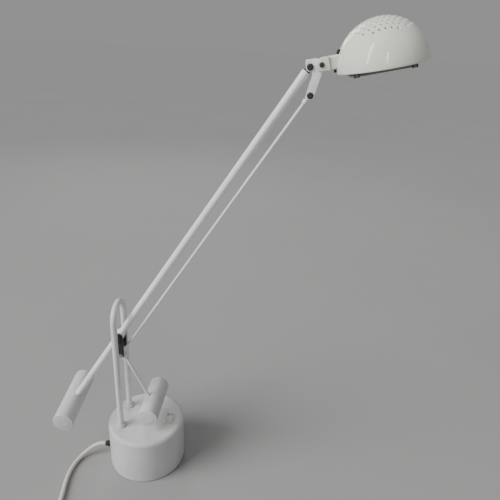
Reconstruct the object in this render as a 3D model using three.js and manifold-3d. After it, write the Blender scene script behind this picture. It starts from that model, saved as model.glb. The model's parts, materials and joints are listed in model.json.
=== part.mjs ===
// Counterweighted architect desk lamp: a round transformer base, an inverted-U hoop, a long arm on
// an axle between the hoop's legs, a thin parallel link, two cylindrical counterweights and a
// domed halogen head.
// Millimetres. +Z is up, +X points from the hoop towards the head, +Y points to the rear. The
// origin is the middle of the base's underside.

import * as THREE from 'three';
import * as BufferGeometryUtils from 'three/addons/utils/BufferGeometryUtils.js';
import Module from 'manifold-3d';

const wasm = await Module();
wasm.setup();

// ---------------------------------------------------------------- driving dimensions

const GAP = 0.3; // clearance between neighbouring pieces
const DEG = Math.PI / 180;

const BASE_RADIUS = 60;
const BASE_HEIGHT = 78;
const BASE_EDGE = 6; // radius of the base's top edge
const BASE_WALL = 2.6;
const PAD_THICKNESS = 2;
const PLATE_BOTTOM = 2.4;
const PLATE_THICKNESS = 1.8;
const BOSS_CIRCLE = 52; // radius on which the three base screws stand
const BOSS_ANGLES = [90, 210, 330];

const TUBE_RADIUS = 4.5; // hoop tube
const HOOP_X = -34.6;
const HOOP_HALF_WIDTH = 22.5;
const HOOP_TOP = 289; // centre line at the top of the bow
const HOOP_FOOT = 64; // lower ends of the legs, inside the base
const AXLE_HEIGHT = 234.2;
const AXLE_RADIUS = 2.5;
const PIN_RADIUS = 2;

const ARM_ANGLE = 57.8 * DEG; // arm above the horizontal at rest
const ARM_REACH = 460; // axle to the upper pivot
const ARM_TAIL = 155; // axle to the arm counterweight's axis
const LINK_OFFSET = new THREE.Vector3(3, 0, -30.9); // arm pivots to link pivots
const LINK_RADIUS = 2;
const ARM_RADIUS = 5.1;

const WEIGHT_RADIUS = 15.5;
const ARM_WEIGHT_LENGTH = 104;
const ARM_WEIGHT_TWIST = 3.5 * DEG; // turned a little on the arm
const LEVER_WEIGHT_LENGTH = 80;
const LEVER_WEIGHT_SHIFT = 4; // the rod enters this far in front of the weight's middle
const LEVER_ROD_ANGLE = -65.4 * DEG;
const LEVER_ROD_REACH = 103.8; // link pivot to the lever counterweight's axis
const LEVER_ROD_RADIUS = 2.5;
const LEVER_INNER = 6.6; // half the space between the lever's cheeks
const LEVER_OUTER = 9.4;
const FORK_GAP = 3.5; // half the space between the prongs of the rod's fork

const PLATE_INNER = 5; // half the space between the head bracket's plates
const PLATE_OUTER = 7;
const TILT_PIVOT = new THREE.Vector3(12.7, 0, 3.1); // from the arm's upper pivot
const HEAD_TILT = 13 * DEG; // head axis above the horizontal at rest
const FORK_INNER = 7.3;
const FORK_OUTER = 10;
const SWIVEL_SEAM = 9; // from the tilt pivot along the head's axis

const SHADE_RADIUS = 52;
const SHADE_WALL = 1.5;
const SHADE_CENTRE = new THREE.Vector3(67.6, 0, -13.4); // rim centre from the tilt pivot
const STUB_HEIGHT = 15.5;
const STUB_WIDTH = 15;
const TAB_WIDTH = 11; // rubber tabs above and below the stub
const REFLECTOR_RADIUS = 40;
const REFLECTOR_DEPTH = 28;
const PANE_SHIFT = -3; // the glass sits this far towards the arm

const SWITCH_CENTRE = new THREE.Vector3(38, 2, 0);
const ROCKER_PIVOT_HEIGHT = 74.5;
const ROCKER_TILT = -9 * DEG;

const CORD_RADIUS = 3.2;
const GLAND_ANGLE = 186 * DEG;
const GLAND_HEIGHT = 20;
const GLAND_TIP = 70; // distance of the gland's outer end from the base's axis
const COIL_CENTRE = new THREE.Vector3(-58.6, -172, 0);
const COIL_INNER = 21.8;
const COIL_OUTER = 47.4;
const COIL_BOTTOM = 1.4;
const COIL_TOP = 13.4;

// The lead from the gland to the coil, and the short tail from the coil to the plug.
const LEAD_ROUTE = [
  [-70.0, -7.4, 20.0], [-79.0, -8.8, 19.4], [-88.0, -11.6, 15.8], [-96.5, -16.0, 10.4],
  [-103.5, -22.5, 5.9], [-108.5, -32.0, 3.8], [-111.4, -45.0, 3.3], [-112.0, -60.0, 3.3],
  [-110.6, -75.0, 3.3], [-107.8, -90.0, 3.3], [-105.4, -104.0, 3.3], [-103.8, -118.0, 3.4],
  [-103.1, -131.0, 3.5], [-102.8, -142.4, 3.8],
];
const TAIL_ROUTE = [
  [-23.6, -210.3, 10.5], [-19.5, -210.6, 8.9], [-15.5, -210.9, 7.6], [-11.5, -211.2, 6.8],
  [-8.0, -211.4, 6.6],
];
const PLUG_START = -7.7; // where the plug's moulded relief begins, along X
const PLUG_Y = -211.4;
const PLUG_HEIGHT = 6.6; // height of the plug's middle above the surface
const PIN_SPREAD = 9.3; // half the distance between the plug's pins

// ---------------------------------------------------------------- shape helpers

function solid(geometry) {
  const plain = geometry.clone();
  plain.deleteAttribute('normal');
  plain.deleteAttribute('uv');
  const merged = BufferGeometryUtils.mergeVertices(plain, 1e-4);
  const vertProperties = new Float32Array(merged.attributes.position.array);
  const triVerts = new Uint32Array(merged.index.array);
  return new wasm.Manifold(new wasm.Mesh({ numProp: 3, vertProperties, triVerts }));
}

function surface(body) {
  const mesh = body.getMesh();
  const geometry = new THREE.BufferGeometry();
  geometry.setAttribute('position', new THREE.BufferAttribute(mesh.vertProperties, 3));
  geometry.setIndex(new THREE.BufferAttribute(mesh.triVerts, 1));
  geometry.computeVertexNormals();
  return geometry;
}

function combine(adds, cuts = []) {
  const joined = adds.map(solid).reduce((all, next) => all.add(next));
  return surface(cuts.map(solid).reduce((all, next) => all.subtract(next), joined));
}

function box(x0, x1, y0, y1, z0, z1) {
  const geometry = new THREE.BoxGeometry(x1 - x0, y1 - y0, z1 - z0);
  return geometry.translate((x0 + x1) / 2, (y0 + y1) / 2, (z0 + z1) / 2);
}

// A body of revolution about +Z from [radius, height] points.
function turned(profile, sides = 32) {
  const points = profile.map(([radius, height]) => new THREE.Vector2(radius, height));
  return new THREE.LatheGeometry(points, sides).rotateX(Math.PI / 2);
}

function ring(inner, outer, z0, z1, sides = 24) {
  return turned([[inner, z0], [outer, z0], [outer, z1], [inner, z1], [inner, z0]], sides);
}

// A round bar between two points.
function bar(radius, from, to, sides = 16) {
  const span = new THREE.Vector3().subVectors(to, from);
  const geometry = new THREE.CylinderGeometry(radius, radius, span.length(), sides);
  const turn = new THREE.Quaternion().setFromUnitVectors(
    new THREE.Vector3(0, 1, 0), span.clone().normalize());
  geometry.applyQuaternion(turn);
  const middle = new THREE.Vector3().addVectors(from, to).multiplyScalar(0.5);
  return geometry.translate(middle.x, middle.y, middle.z);
}

// A round bar across the lamp, along Y, at (x, z).
function crossBar(radius, y0, y1, x = 0, z = 0, sides = 20) {
  return bar(radius, new THREE.Vector3(x, y0, z), new THREE.Vector3(x, y1, z), sides);
}

function upBar(radius, z0, z1, x = 0, y = 0, sides = 20) {
  return bar(radius, new THREE.Vector3(x, y, z0), new THREE.Vector3(x, y, z1), sides);
}

function alongBar(radius, x0, x1, y = 0, z = 0, sides = 16) {
  return bar(radius, new THREE.Vector3(x0, y, z), new THREE.Vector3(x1, y, z), sides);
}

// An outline drawn in X and Z, made solid from y0 to y1.
function sideways(shape, y0, y1) {
  const geometry = new THREE.ExtrudeGeometry(shape, {
    depth: y1 - y0, bevelEnabled: false, curveSegments: 6 });
  return geometry.rotateX(Math.PI / 2).translate(0, y1, 0);
}

// An outline drawn in Y and Z, made solid from x0 to x1.
function lengthways(shape, x0, x1) {
  const geometry = new THREE.ExtrudeGeometry(shape, {
    depth: x1 - x0, bevelEnabled: false, curveSegments: 4 });
  return geometry.rotateY(Math.PI / 2).rotateX(Math.PI / 2).translate(x0, 0, 0);
}

function outline(points) {
  return new THREE.Shape(points.map(([x, y]) => new THREE.Vector2(x, y)));
}

// Two round ends joined by their common tangents.
function bone(first, firstRadius, second, secondRadius) {
  const along = Math.atan2(second[1] - first[1], second[0] - first[0]);
  const distance = Math.hypot(second[0] - first[0], second[1] - first[1]);
  const spread = Math.acos((firstRadius - secondRadius) / distance);
  const shape = new THREE.Shape();
  shape.absarc(first[0], first[1], firstRadius, along + spread, along - spread + 2 * Math.PI);
  shape.absarc(second[0], second[1], secondRadius, along - spread, along + spread);
  return shape;
}

function roundedRectangle(width, height, radius) {
  const x = width / 2 - radius;
  const y = height / 2 - radius;
  const shape = new THREE.Shape();
  shape.absarc(x, y, radius, 0, Math.PI / 2);
  shape.absarc(-x, y, radius, Math.PI / 2, Math.PI);
  shape.absarc(-x, -y, radius, Math.PI, 1.5 * Math.PI);
  shape.absarc(x, -y, radius, 1.5 * Math.PI, 2 * Math.PI);
  return shape;
}

function circleShape(radius, sides) {
  const points = [];
  for (let i = 0; i < sides; i += 1) {
    const angle = (i / sides) * 2 * Math.PI;
    points.push([radius * Math.cos(angle), radius * Math.sin(angle)]);
  }
  return outline(points);
}

function swept(curve, radius, steps, sides = 10) {
  return new THREE.ExtrudeGeometry(circleShape(radius, sides), {
    steps, bevelEnabled: false, extrudePath: curve });
}

function throughPoints(route) {
  return new THREE.CatmullRomCurve3(route.map((point) => new THREE.Vector3(...point)));
}

// Points of a quarter or other arc, as [radius, height] pairs about a centre.
function arcPoints(cx, cy, rx, ry, from, to, count) {
  const points = [];
  for (let i = 0; i <= count; i += 1) {
    const angle = (from + ((to - from) * i) / count) * DEG;
    points.push([cx + rx * Math.cos(angle), cy + ry * Math.sin(angle)]);
  }
  return points;
}

function polar(radius, angle, z) {
  return new THREE.Vector3(radius * Math.cos(angle), radius * Math.sin(angle), z);
}

// ---------------------------------------------------------------- materials

function finish(color, roughness, metalness = 0, extra = {}) {
  return new THREE.MeshStandardMaterial({ color, roughness, metalness, ...extra });
}

const PAINT = finish(0xd8d8d6, 0.42);
const SHADE_PAINT = finish(0xe2e4da, 0.2);
const BLACK_PLASTIC = finish(0x1c1d1e, 0.5);
const SWITCH_PLASTIC = finish(0xd2d0c8, 0.35);
const STEEL = finish(0x9fa3a6, 0.35, 1);
const RUBBER = finish(0x151515, 0.85);
const CORE_IRON = finish(0x4a4a4c, 0.6, 0.8);
const COPPER = finish(0xa8602c, 0.4, 0.7);
const POLISHED = finish(0xdcdcdc, 0.12, 1);
const CERAMIC = finish(0xe9e6dc, 0.6);
const GLASS = finish(0xbfd6cc, 0.05, 0, { transparent: true, opacity: 0.4 });
const CORD_WHITE = finish(0xd9d6cd, 0.5);
const BRASS = finish(0xb99a55, 0.3, 1);

const lamp = new THREE.Group();

function add(parent, name, geometry, material) {
  const mesh = new THREE.Mesh(geometry, material);
  mesh.name = name;
  parent.add(mesh);
  return mesh;
}

function groupAt(parent, position, tilt = 0) {
  const group = new THREE.Group();
  group.position.copy(position);
  group.rotation.y = -tilt;
  parent.add(group);
  return group;
}

// ---------------------------------------------------------------- base

function baseHousing() {
  const innerEdge = BASE_EDGE - 2;
  const innerRadius = BASE_RADIUS - BASE_WALL;
  const ceiling = BASE_HEIGHT - BASE_WALL;
  const shell = turned([
    [0, ceiling],
    ...arcPoints(innerRadius - innerEdge, ceiling - innerEdge, innerEdge, innerEdge, 90, 0, 3),
    [innerRadius, 1],
    [BASE_RADIUS, 1],
    ...arcPoints(BASE_RADIUS - BASE_EDGE, BASE_HEIGHT - BASE_EDGE, BASE_EDGE, BASE_EDGE, 0, 90, 5),
    [0, BASE_HEIGHT],
  ], 44);
  const bosses = [];
  const holes = [];
  for (const degrees of BOSS_ANGLES) {
    const at = polar(BOSS_CIRCLE, degrees * DEG, 0);
    const rib = box(BOSS_CIRCLE, BASE_RADIUS - 1.2, -2, 2, 4.8, 18).rotateZ(degrees * DEG);
    bosses.push(upBar(4, 4.8, 18, at.x, at.y, 12), rib);
    holes.push(upBar(1.8, 3, 14.5, at.x, at.y, 8));
  }
  for (const side of [-1, 1]) {
    holes.push(upBar(TUBE_RADIUS + 2 * GAP, 70, 82, HOOP_X, side * HOOP_HALF_WIDTH, 14));
  }
  const { x, y } = SWITCH_CENTRE;
  holes.push(box(x - 6.8, x + 6.8, y - 9.8, y + 9.8, 70, 82));
  holes.push(bar(6.4, polar(50, GLAND_ANGLE, GLAND_HEIGHT), polar(66, GLAND_ANGLE, GLAND_HEIGHT), 14));
  return combine([shell, ...bosses], holes);
}

function basePlate() {
  const holes = BOSS_ANGLES.map((degrees) => {
    const at = polar(BOSS_CIRCLE, degrees * DEG, 0);
    return upBar(1.9, 0, 8, at.x, at.y, 8);
  });
  for (const side of [-1, 1]) {
    holes.push(upBar(1.9, 0, 8, side * 33.5, 0, 8));
  }
  const top = PLATE_BOTTOM + PLATE_THICKNESS;
  return combine([upBar(BASE_RADIUS - BASE_WALL - GAP, PLATE_BOTTOM, top, 0, 0, 44)], holes);
}

function basePad() {
  const holes = BOSS_ANGLES.map((degrees) => {
    const at = polar(BOSS_CIRCLE, degrees * DEG, 0);
    return upBar(3.8, -1, 4, at.x, at.y, 12);
  });
  return combine([upBar(56.6, 0, PAD_THICKNESS, 0, 0, 44)], holes);
}

function baseScrew() {
  return combine([upBar(3.2, 0.8, 2.1, 0, 0, 10), upBar(1.4, 2, 13, 0, 0, 8)]);
}

function transformerCore() {
  const windows = [box(-18, -9, -20, 20, 13.5, 40.5), box(9, 18, -20, 20, 13.5, 40.5)];
  return combine([box(-27, 27, -14, 14, 4.5, 49.5)], windows);
}

function transformerCoil() {
  return combine([box(-17.7, 17.7, -23, 23, 13.9, 40.1)], [box(-9.3, 9.3, -14.3, 14.3, 10, 45)]);
}

// The strap goes over the core; its two feet are riveted through the base plate.
function transformerStrap() {
  const shape = outline([[-38, 4.5], [-27.3, 4.5], [-27.3, 49.8], [27.3, 49.8], [27.3, 4.5],
    [38, 4.5], [38, 5.7], [28.5, 5.7], [28.5, 51], [-28.5, 51], [-28.5, 5.7], [-38, 5.7]]);
  const rivets = [-33.5, 33.5].flatMap((x) => [
    upBar(3, 5, 7.4, x, 0, 10), upBar(1.5, 2.7, 5.1, x, 0, 8)]);
  return combine([sideways(shape, -8, 8), ...rivets]);
}

function terminalBlock() {
  const wells = [-28, -22, -16].map((x) => upBar(1.6, 10, 16, x, 36, 8));
  return combine([box(-32, -12, 30.5, 41.5, 4.5, 14)], wells);
}

function switchLead() {
  return swept(throughPoints([[-10.8, 36, 9], [2, 37, 14], [20, 33, 30], [33, 18, 44], [38, 6, 56.4]]),
    1.6, 10, 6);
}

const base = new THREE.Group();
lamp.add(base);
add(base, 'base_housing', baseHousing(), PAINT);
add(base, 'base_plate', basePlate(), STEEL);
add(base, 'base_pad', basePad(), RUBBER);
BOSS_ANGLES.forEach((degrees, index) => {
  const at = polar(BOSS_CIRCLE, degrees * DEG, 0);
  add(groupAt(base, at), `base_screw_${index + 1}`, baseScrew(), STEEL);
});
add(base, 'transformer_core', transformerCore(), CORE_IRON);
add(base, 'transformer_coil', transformerCoil(), COPPER);
add(base, 'transformer_strap', transformerStrap(), STEEL);
add(base, 'terminal_block', terminalBlock(), CERAMIC);
add(base, 'switch_lead', switchLead(), BLACK_PLASTIC);

// ---------------------------------------------------------------- rocker switch

function switchBody() {
  const { x, y } = SWITCH_CENTRE;
  const bezel = box(x - 7.5, x + 7.5, y - 10.5, y + 10.5, BASE_HEIGHT + GAP, BASE_HEIGHT + 1.9);
  const body = box(x - 6.5, x + 6.5, y - 9.5, y + 9.5, 58, BASE_HEIGHT + 1);
  const well = box(x - 5.4, x + 5.4, y - 8.4, y + 8.4, 68, 84);
  return combine([bezel, body], [well]);
}

function switchRocker() {
  const shape = outline([[-7.2, -3], [7.2, -3], [7.4, 4.4], [0, 6], [-7.4, 4.4]]);
  return lengthways(shape, -5.1, 5.1).rotateX(ROCKER_TILT);
}

add(base, 'switch_body', switchBody(), SWITCH_PLASTIC);
const rocker = groupAt(base, new THREE.Vector3(SWITCH_CENTRE.x, SWITCH_CENTRE.y, ROCKER_PIVOT_HEIGHT));
add(rocker, 'switch_rocker', switchRocker(), SWITCH_PLASTIC);

// ---------------------------------------------------------------- hoop and axle

function hoopPath() {
  const springing = HOOP_TOP - HOOP_HALF_WIDTH;
  const path = new THREE.CurvePath();
  const foot = (side, z) => new THREE.Vector3(HOOP_X, side * HOOP_HALF_WIDTH, z);
  const k = 0.5523 * HOOP_HALF_WIDTH; // handle length that makes a cubic a quarter circle
  const top = new THREE.Vector3(HOOP_X, 0, HOOP_TOP);
  path.add(new THREE.LineCurve3(foot(-1, HOOP_FOOT), foot(-1, springing)));
  path.add(new THREE.CubicBezierCurve3(foot(-1, springing), foot(-1, springing + k),
    new THREE.Vector3(HOOP_X, -k, HOOP_TOP), top));
  path.add(new THREE.CubicBezierCurve3(top, new THREE.Vector3(HOOP_X, k, HOOP_TOP),
    foot(1, springing + k), foot(1, springing)));
  path.add(new THREE.LineCurve3(foot(1, springing), foot(1, HOOP_FOOT)));
  return path;
}

function hoopCollar() {
  const inner = TUBE_RADIUS + GAP;
  const low = BASE_HEIGHT + GAP;
  return turned([[inner, low], [7.7, low], [7.7, low + 2.2],
    ...arcPoints(5.9, low + 2.4, 1.8, 1.8, 0, 90, 2), [inner, low + 4.2], [inner, low]], 18);
}

function hoopNut() {
  const hexagon = new THREE.CylinderGeometry(8, 8, 5.4, 6).rotateX(Math.PI / 2).translate(0, 0, 72.3);
  return combine([hexagon], [upBar(TUBE_RADIUS + GAP, 60, 80, 0, 0, 12)]);
}

add(base, 'hoop_tube', swept(hoopPath(), TUBE_RADIUS, 44, 10), PAINT);
for (const [name, side] of [['front', -1], ['rear', 1]]) {
  const foot = groupAt(base, new THREE.Vector3(HOOP_X, side * HOOP_HALF_WIDTH, 0));
  add(foot, `hoop_collar_${name}`, hoopCollar(), PAINT);
  add(foot, `hoop_nut_${name}`, hoopNut(), STEEL);
}

const axlePoint = new THREE.Vector3(HOOP_X, 0, AXLE_HEIGHT);
const axleReach = HOOP_HALF_WIDTH - TUBE_RADIUS - GAP;
const axle = groupAt(base, axlePoint);
add(axle, 'hub_axle', crossBar(AXLE_RADIUS, -axleReach, axleReach), STEEL);
for (const [name, side] of [['front', -1], ['rear', 1]]) {
  const sleeve = ring(AXLE_RADIUS + GAP, 5, LEVER_OUTER + GAP, axleReach - 0.1, 14);
  add(axle, `axle_spacer_${name}`, sleeve.rotateX((side * -Math.PI) / 2), BLACK_PLASTIC);
}

// ---------------------------------------------------------------- lever, its rod and weight

const rodDirection = new THREE.Vector3(Math.cos(LEVER_ROD_ANGLE), 0, Math.sin(LEVER_ROD_ANGLE));

function onRod(distance) {
  return LINK_OFFSET.clone().addScaledVector(rodDirection, distance);
}

// Two cheeks that carry the arm's pivot and the link's pivot, joined by a bar between them.
function pivotLever() {
  const link = [LINK_OFFSET.x, LINK_OFFSET.z];
  const outlineOfCheek = bone([0, 0], 7, link, 4.4);
  const cheeks = [sideways(outlineOfCheek, -LEVER_OUTER, -LEVER_INNER),
    sideways(outlineOfCheek, LEVER_INNER, LEVER_OUTER)];
  const bridge = crossBar(2, -LEVER_OUTER + 0.5, LEVER_OUTER - 0.5, link[0] / 2, link[1] / 2, 12);
  return combine([...cheeks, bridge], [
    crossBar(AXLE_RADIUS + GAP, -20, 20, 0, 0, 14),
    crossBar(PIN_RADIUS + GAP, -20, 20, link[0], link[1], 12),
  ]);
}

// The rod's upper end is a fork on the link pin, between the lever's cheeks.
function leverRod() {
  const link = [LINK_OFFSET.x, LINK_OFFSET.z];
  const crown = onRod(8);
  const prong = bone(link, 3.7, [crown.x, crown.z], 3);
  const outer = LEVER_INNER - GAP;
  return combine([
    sideways(prong, -outer, -FORK_GAP),
    sideways(prong, FORK_GAP, outer),
    crossBar(3, -outer, outer, crown.x, crown.z, 14),
    bar(LEVER_ROD_RADIUS, crown, onRod(LEVER_ROD_REACH - 8)),
  ], [crossBar(PIN_RADIUS + GAP, -20, 20, link[0], link[1], 12)]);
}

function linkPin() {
  const { x, z } = LINK_OFFSET;
  return combine([crossBar(PIN_RADIUS, -LEVER_OUTER - 0.8, LEVER_OUTER + 0.8, x, z, 12),
    crossBar(3, -LEVER_OUTER - 1.4, -LEVER_OUTER - GAP, x, z, 14),
    crossBar(3, LEVER_OUTER + GAP, LEVER_OUTER + 1.4, x, z, 14)]);
}

// A bar along Y with softened end edges and a socket for the rod that carries it.
function counterweight(length, shift, socketRadius, socketFrom, socketDepth) {
  const half = length / 2;
  const edge = 1.2;
  const blank = turned([
    [0, -half], [WEIGHT_RADIUS - edge, -half], [WEIGHT_RADIUS, -half + edge],
    [WEIGHT_RADIUS, half - edge], [WEIGHT_RADIUS - edge, half], [0, half],
  ], 24).rotateX(-Math.PI / 2).translate(0, shift, 0);
  const toRod = socketFrom.clone().normalize();
  const bottom = toRod.clone().multiplyScalar(WEIGHT_RADIUS - socketDepth);
  return combine([blank], [bar(socketRadius + GAP, bottom, toRod.clone().multiplyScalar(30))]);
}

const lever = groupAt(lamp, axlePoint);
add(lever, 'pivot_lever', pivotLever(), BLACK_PLASTIC);
add(lever, 'link_pin_lower', linkPin(), STEEL);
add(lever, 'lever_rod', leverRod(), PAINT);
const leverWeight = groupAt(lever, onRod(LEVER_ROD_REACH));
add(leverWeight, 'lever_counterweight', counterweight(LEVER_WEIGHT_LENGTH, LEVER_WEIGHT_SHIFT,
  LEVER_ROD_RADIUS, rodDirection.clone().negate(), 8.2), PAINT);

// ---------------------------------------------------------------- arm and its weight

function armTube() {
  const start = -ARM_TAIL + 8;
  const end = ARM_REACH - 6.4;
  return combine([alongBar(ARM_RADIUS, start, end, 0, 0, 16)], [
    alongBar(ARM_RADIUS - 0.9, start - 1, end + 1, 0, 0, 12),
    crossBar(AXLE_RADIUS + GAP, -10, 10, 0, 0, 14),
  ]);
}

function armHub() {
  return combine([crossBar(7.5, -6.3, 6.3, 0, 0, 20)], [
    alongBar(ARM_RADIUS + GAP, -20, 20, 0, 0, 16),
    crossBar(AXLE_RADIUS + GAP, -20, 20, 0, 0, 14),
  ]);
}

function armEnd() {
  const spigot = alongBar(ARM_RADIUS - 0.9 - GAP, -20, -3, 0, 0, 12);
  const boss = crossBar(5.4, -4.6, 4.6, 0, 0, 16);
  return combine([boss, spigot], [crossBar(PIN_RADIUS + GAP, -10, 10, 0, 0, 12)]);
}

const arm = groupAt(lamp, axlePoint, ARM_ANGLE);
add(arm, 'arm_tube', armTube(), PAINT);
add(arm, 'arm_hub', armHub(), PAINT);
const armWeight = groupAt(arm, new THREE.Vector3(-ARM_TAIL, 0, 0));
armWeight.rotation.x = ARM_WEIGHT_TWIST;
add(armWeight, 'arm_counterweight', counterweight(ARM_WEIGHT_LENGTH, 0, ARM_RADIUS,
  new THREE.Vector3(1, 0, 0), 8), PAINT);
const armTip = groupAt(arm, new THREE.Vector3(ARM_REACH, 0, 0));
add(armTip, 'arm_end', armEnd(), BLACK_PLASTIC);

// ---------------------------------------------------------------- parallel link

// An eye with a tapering neck that grips the link rod; towards says which way the rod lies.
function linkEye(towards) {
  const neck = turned([[0, 2], [3.2, 2], [3.2, 9], [2.4, 12.4], [0, 12.4]], 12)
    .rotateY((towards * Math.PI) / 2);
  return combine([crossBar(4.1, -3, 3, 0, 0, 16), neck], [crossBar(PIN_RADIUS + GAP, -10, 10, 0, 0, 12)]);
}

const link = groupAt(lamp, axlePoint.clone().add(LINK_OFFSET), ARM_ANGLE);
add(link, 'link_rod', alongBar(LINK_RADIUS, 12.7, ARM_REACH - 12.7, 0, 0, 12), PAINT);
add(link, 'link_eye_lower', linkEye(1), PAINT);
const linkTip = groupAt(link, new THREE.Vector3(ARM_REACH, 0, 0));
add(linkTip, 'link_eye_upper', linkEye(-1), PAINT);

// ---------------------------------------------------------------- head bracket

function bracketOutline() {
  const shape = new THREE.Shape();
  shape.absarc(0, 0, 5.1, Math.PI, 300 * DEG);
  shape.lineTo(3.4, -8.5);
  shape.absarc(LINK_OFFSET.x, LINK_OFFSET.z, 4.9, 168 * DEG, 345 * DEG);
  shape.lineTo(14.4, -5.2);
  shape.absarc(TILT_PIVOT.x, TILT_PIVOT.z, 5.5, -50 * DEG, 110 * DEG);
  shape.lineTo(7, 9.3);
  shape.absarc(-3.1, 5.4, 2, 80 * DEG, Math.PI);
  return shape;
}

function bracketPlate(y0) {
  const plate = sideways(bracketOutline(), y0, y0 + PLATE_OUTER - PLATE_INNER);
  const holes = [[0, 0], [LINK_OFFSET.x, LINK_OFFSET.z], [TILT_PIVOT.x, TILT_PIVOT.z]].map(
    ([x, z]) => crossBar(PIN_RADIUS + GAP, -12, 12, x, z, 10));
  return combine([plate], holes);
}

// A pivot rivet across the lamp with a softened round cap at each end.
function capRivet(capRadius, capInner, capOuter) {
  const cap = (side) => turned([[0, capInner - 0.2], [1, capInner - 0.2], [1, capInner],
    [capRadius, capInner], [capRadius, capOuter - 0.7], [capRadius - 1, capOuter], [0, capOuter]],
  14).rotateX((side * -Math.PI) / 2);
  return combine([crossBar(PIN_RADIUS, -capInner - 0.1, capInner + 0.1, 0, 0, 10), cap(1), cap(-1)]);
}

const armPivot = axlePoint.clone().add(
  new THREE.Vector3(ARM_REACH * Math.cos(ARM_ANGLE), 0, ARM_REACH * Math.sin(ARM_ANGLE)));
const bracket = groupAt(lamp, armPivot);
add(bracket, 'bracket_plate_front', bracketPlate(-PLATE_OUTER), PAINT);
add(bracket, 'bracket_plate_rear', bracketPlate(PLATE_INNER), PAINT);
const spacerOutline = outline([[4.6, -11], [11.6, -11], [9.2, -21], [3.2, -21]]);
add(bracket, 'bracket_spacer', sideways(spacerOutline, -PLATE_INNER + GAP, PLATE_INNER - GAP), PAINT);
const capSeat = PLATE_OUTER + GAP;
add(bracket, 'arm_pivot_rivet', capRivet(3.9, capSeat, capSeat + 2), BLACK_PLASTIC);
const linkPivot = groupAt(bracket, LINK_OFFSET);
add(linkPivot, 'link_rivet_upper', capRivet(3.8, capSeat, capSeat + 2), BLACK_PLASTIC);
const bush = ring(PIN_RADIUS + GAP, 4.8, -PLATE_INNER + GAP, PLATE_INNER - GAP, 14);
add(bracket, 'tilt_bush', bush.rotateX(Math.PI / 2).translate(TILT_PIVOT.x, 0, TILT_PIVOT.z),
  BLACK_PLASTIC);

// ---------------------------------------------------------------- tilting knuckle

function tiltKnuckle() {
  const shape = new THREE.Shape();
  shape.moveTo(SWIVEL_SEAM, 7.6);
  shape.lineTo(0.8, 7.3);
  shape.absarc(0, 0, 7.1, 146 * DEG, 280 * DEG);
  shape.lineTo(SWIVEL_SEAM, -7.6);
  const relief = outline([[5, -5], [6.1, -5], [7.6, -9], [5, -9]]);
  return combine([sideways(shape, -FORK_OUTER, FORK_OUTER)], [
    box(-20, 6.1, -FORK_INNER, FORK_INNER, -12, 12),
    sideways(relief, -FORK_INNER, FORK_INNER),
    crossBar(PIN_RADIUS + GAP, -12, 12, 0, 0, 12),
    alongBar(2.8, 4, 12, 0, 0, 12),
  ]);
}

const knuckle = groupAt(bracket, TILT_PIVOT, HEAD_TILT);
add(knuckle, 'tilt_knuckle', tiltKnuckle(), SHADE_PAINT);
add(knuckle, 'tilt_rivet', capRivet(3, FORK_OUTER + GAP, FORK_OUTER + 2), BLACK_PLASTIC);
add(knuckle, 'swivel_stud', alongBar(2.5, 6.4, 16, 0, 0, 12), STEEL);

// ---------------------------------------------------------------- head

const head = groupAt(knuckle, new THREE.Vector3(0, 0, 0));
const dish = groupAt(head, SHADE_CENTRE); // origin at the middle of the shade's rim

function stubPrism(clearance, x0, x1) {
  const shape = roundedRectangle(STUB_WIDTH + 2 * clearance, STUB_HEIGHT + 2 * clearance, 2.5);
  return lengthways(shape, x0, x1);
}

function toDish(geometry) {
  return geometry.translate(-SHADE_CENTRE.x, 0, -SHADE_CENTRE.z);
}

function shadeStub() {
  return combine([stubPrism(0, SWIVEL_SEAM + GAP, 23)], [alongBar(2.8, 5, 16.4, 0, 0, 12)]);
}

function shadeShell() {
  const inner = SHADE_RADIUS - SHADE_WALL;
  const dome = turned([
    [0, inner],
    ...arcPoints(0, 0, inner, inner, 78, 0, 5),
    ...arcPoints(0, 0, SHADE_RADIUS, SHADE_RADIUS, 0, 78, 6),
    [0, SHADE_RADIUS],
  ], 36);
  return combine([dome], [toDish(stubPrism(GAP, 10, 32))]);
}

// A rubber tab that lies on the dome between two heights of the stub's own frame.
function shadeTab(z0, z1) {
  const outer = solid(new THREE.SphereGeometry(SHADE_RADIUS + 2.3, 44, 22).rotateX(Math.PI / 2));
  const inner = solid(new THREE.SphereGeometry(SHADE_RADIUS + 0.5, 44, 22).rotateX(Math.PI / 2));
  const pad = solid(toDish(box(5, 32, -TAB_WIDTH / 2, TAB_WIDTH / 2, z0, z1)));
  return surface(outer.subtract(inner).intersect(pad));
}

function reflector() {
  const wall = 0.8;
  const rim = 1.8;
  const mouth = 8; // radius of the opening for the lamp holder
  const depth = REFLECTOR_DEPTH;
  const bowl = (radius, height) => arcPoints(0, rim, radius, height,
    0, Math.acos(mouth / radius) / DEG, 4);
  return turned([
    ...bowl(REFLECTOR_RADIUS, depth),
    ...bowl(REFLECTOR_RADIUS - wall, depth - wall).reverse(),
    [REFLECTOR_RADIUS - wall, 1],
    [46, 1],
    [46, rim],
    [REFLECTOR_RADIUS, rim],
  ], 28);
}

function holderBracket() {
  const strip = outline([[23.3, -6], [24.5, -6], [24.5, 6.6], [36.3, 17.9], [76, 17.9], [76, 19.1],
    [35.8, 19.1], [23.3, 7.1]]);
  return combine([sideways(strip, -8, 8)], [upBar(5.8, 10, 30, SHADE_CENTRE.x, 0, 16)]);
}

function lampHolder() {
  return turned([[0, 22.4], [5.5, 22.4], [5.5, 32.8], [7.5, 32.8], [7.5, 38.2], [6.5, 39], [0, 39]],
    16);
}

function halogenBulb() {
  return turned([[0, 4.6], ...arcPoints(0, 8.6, 4.4, 4, -70, 0, 4), [4.4, 17], [2.6, 19.4],
    [2.6, 22.1], [0, 22.1]], 12);
}

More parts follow.
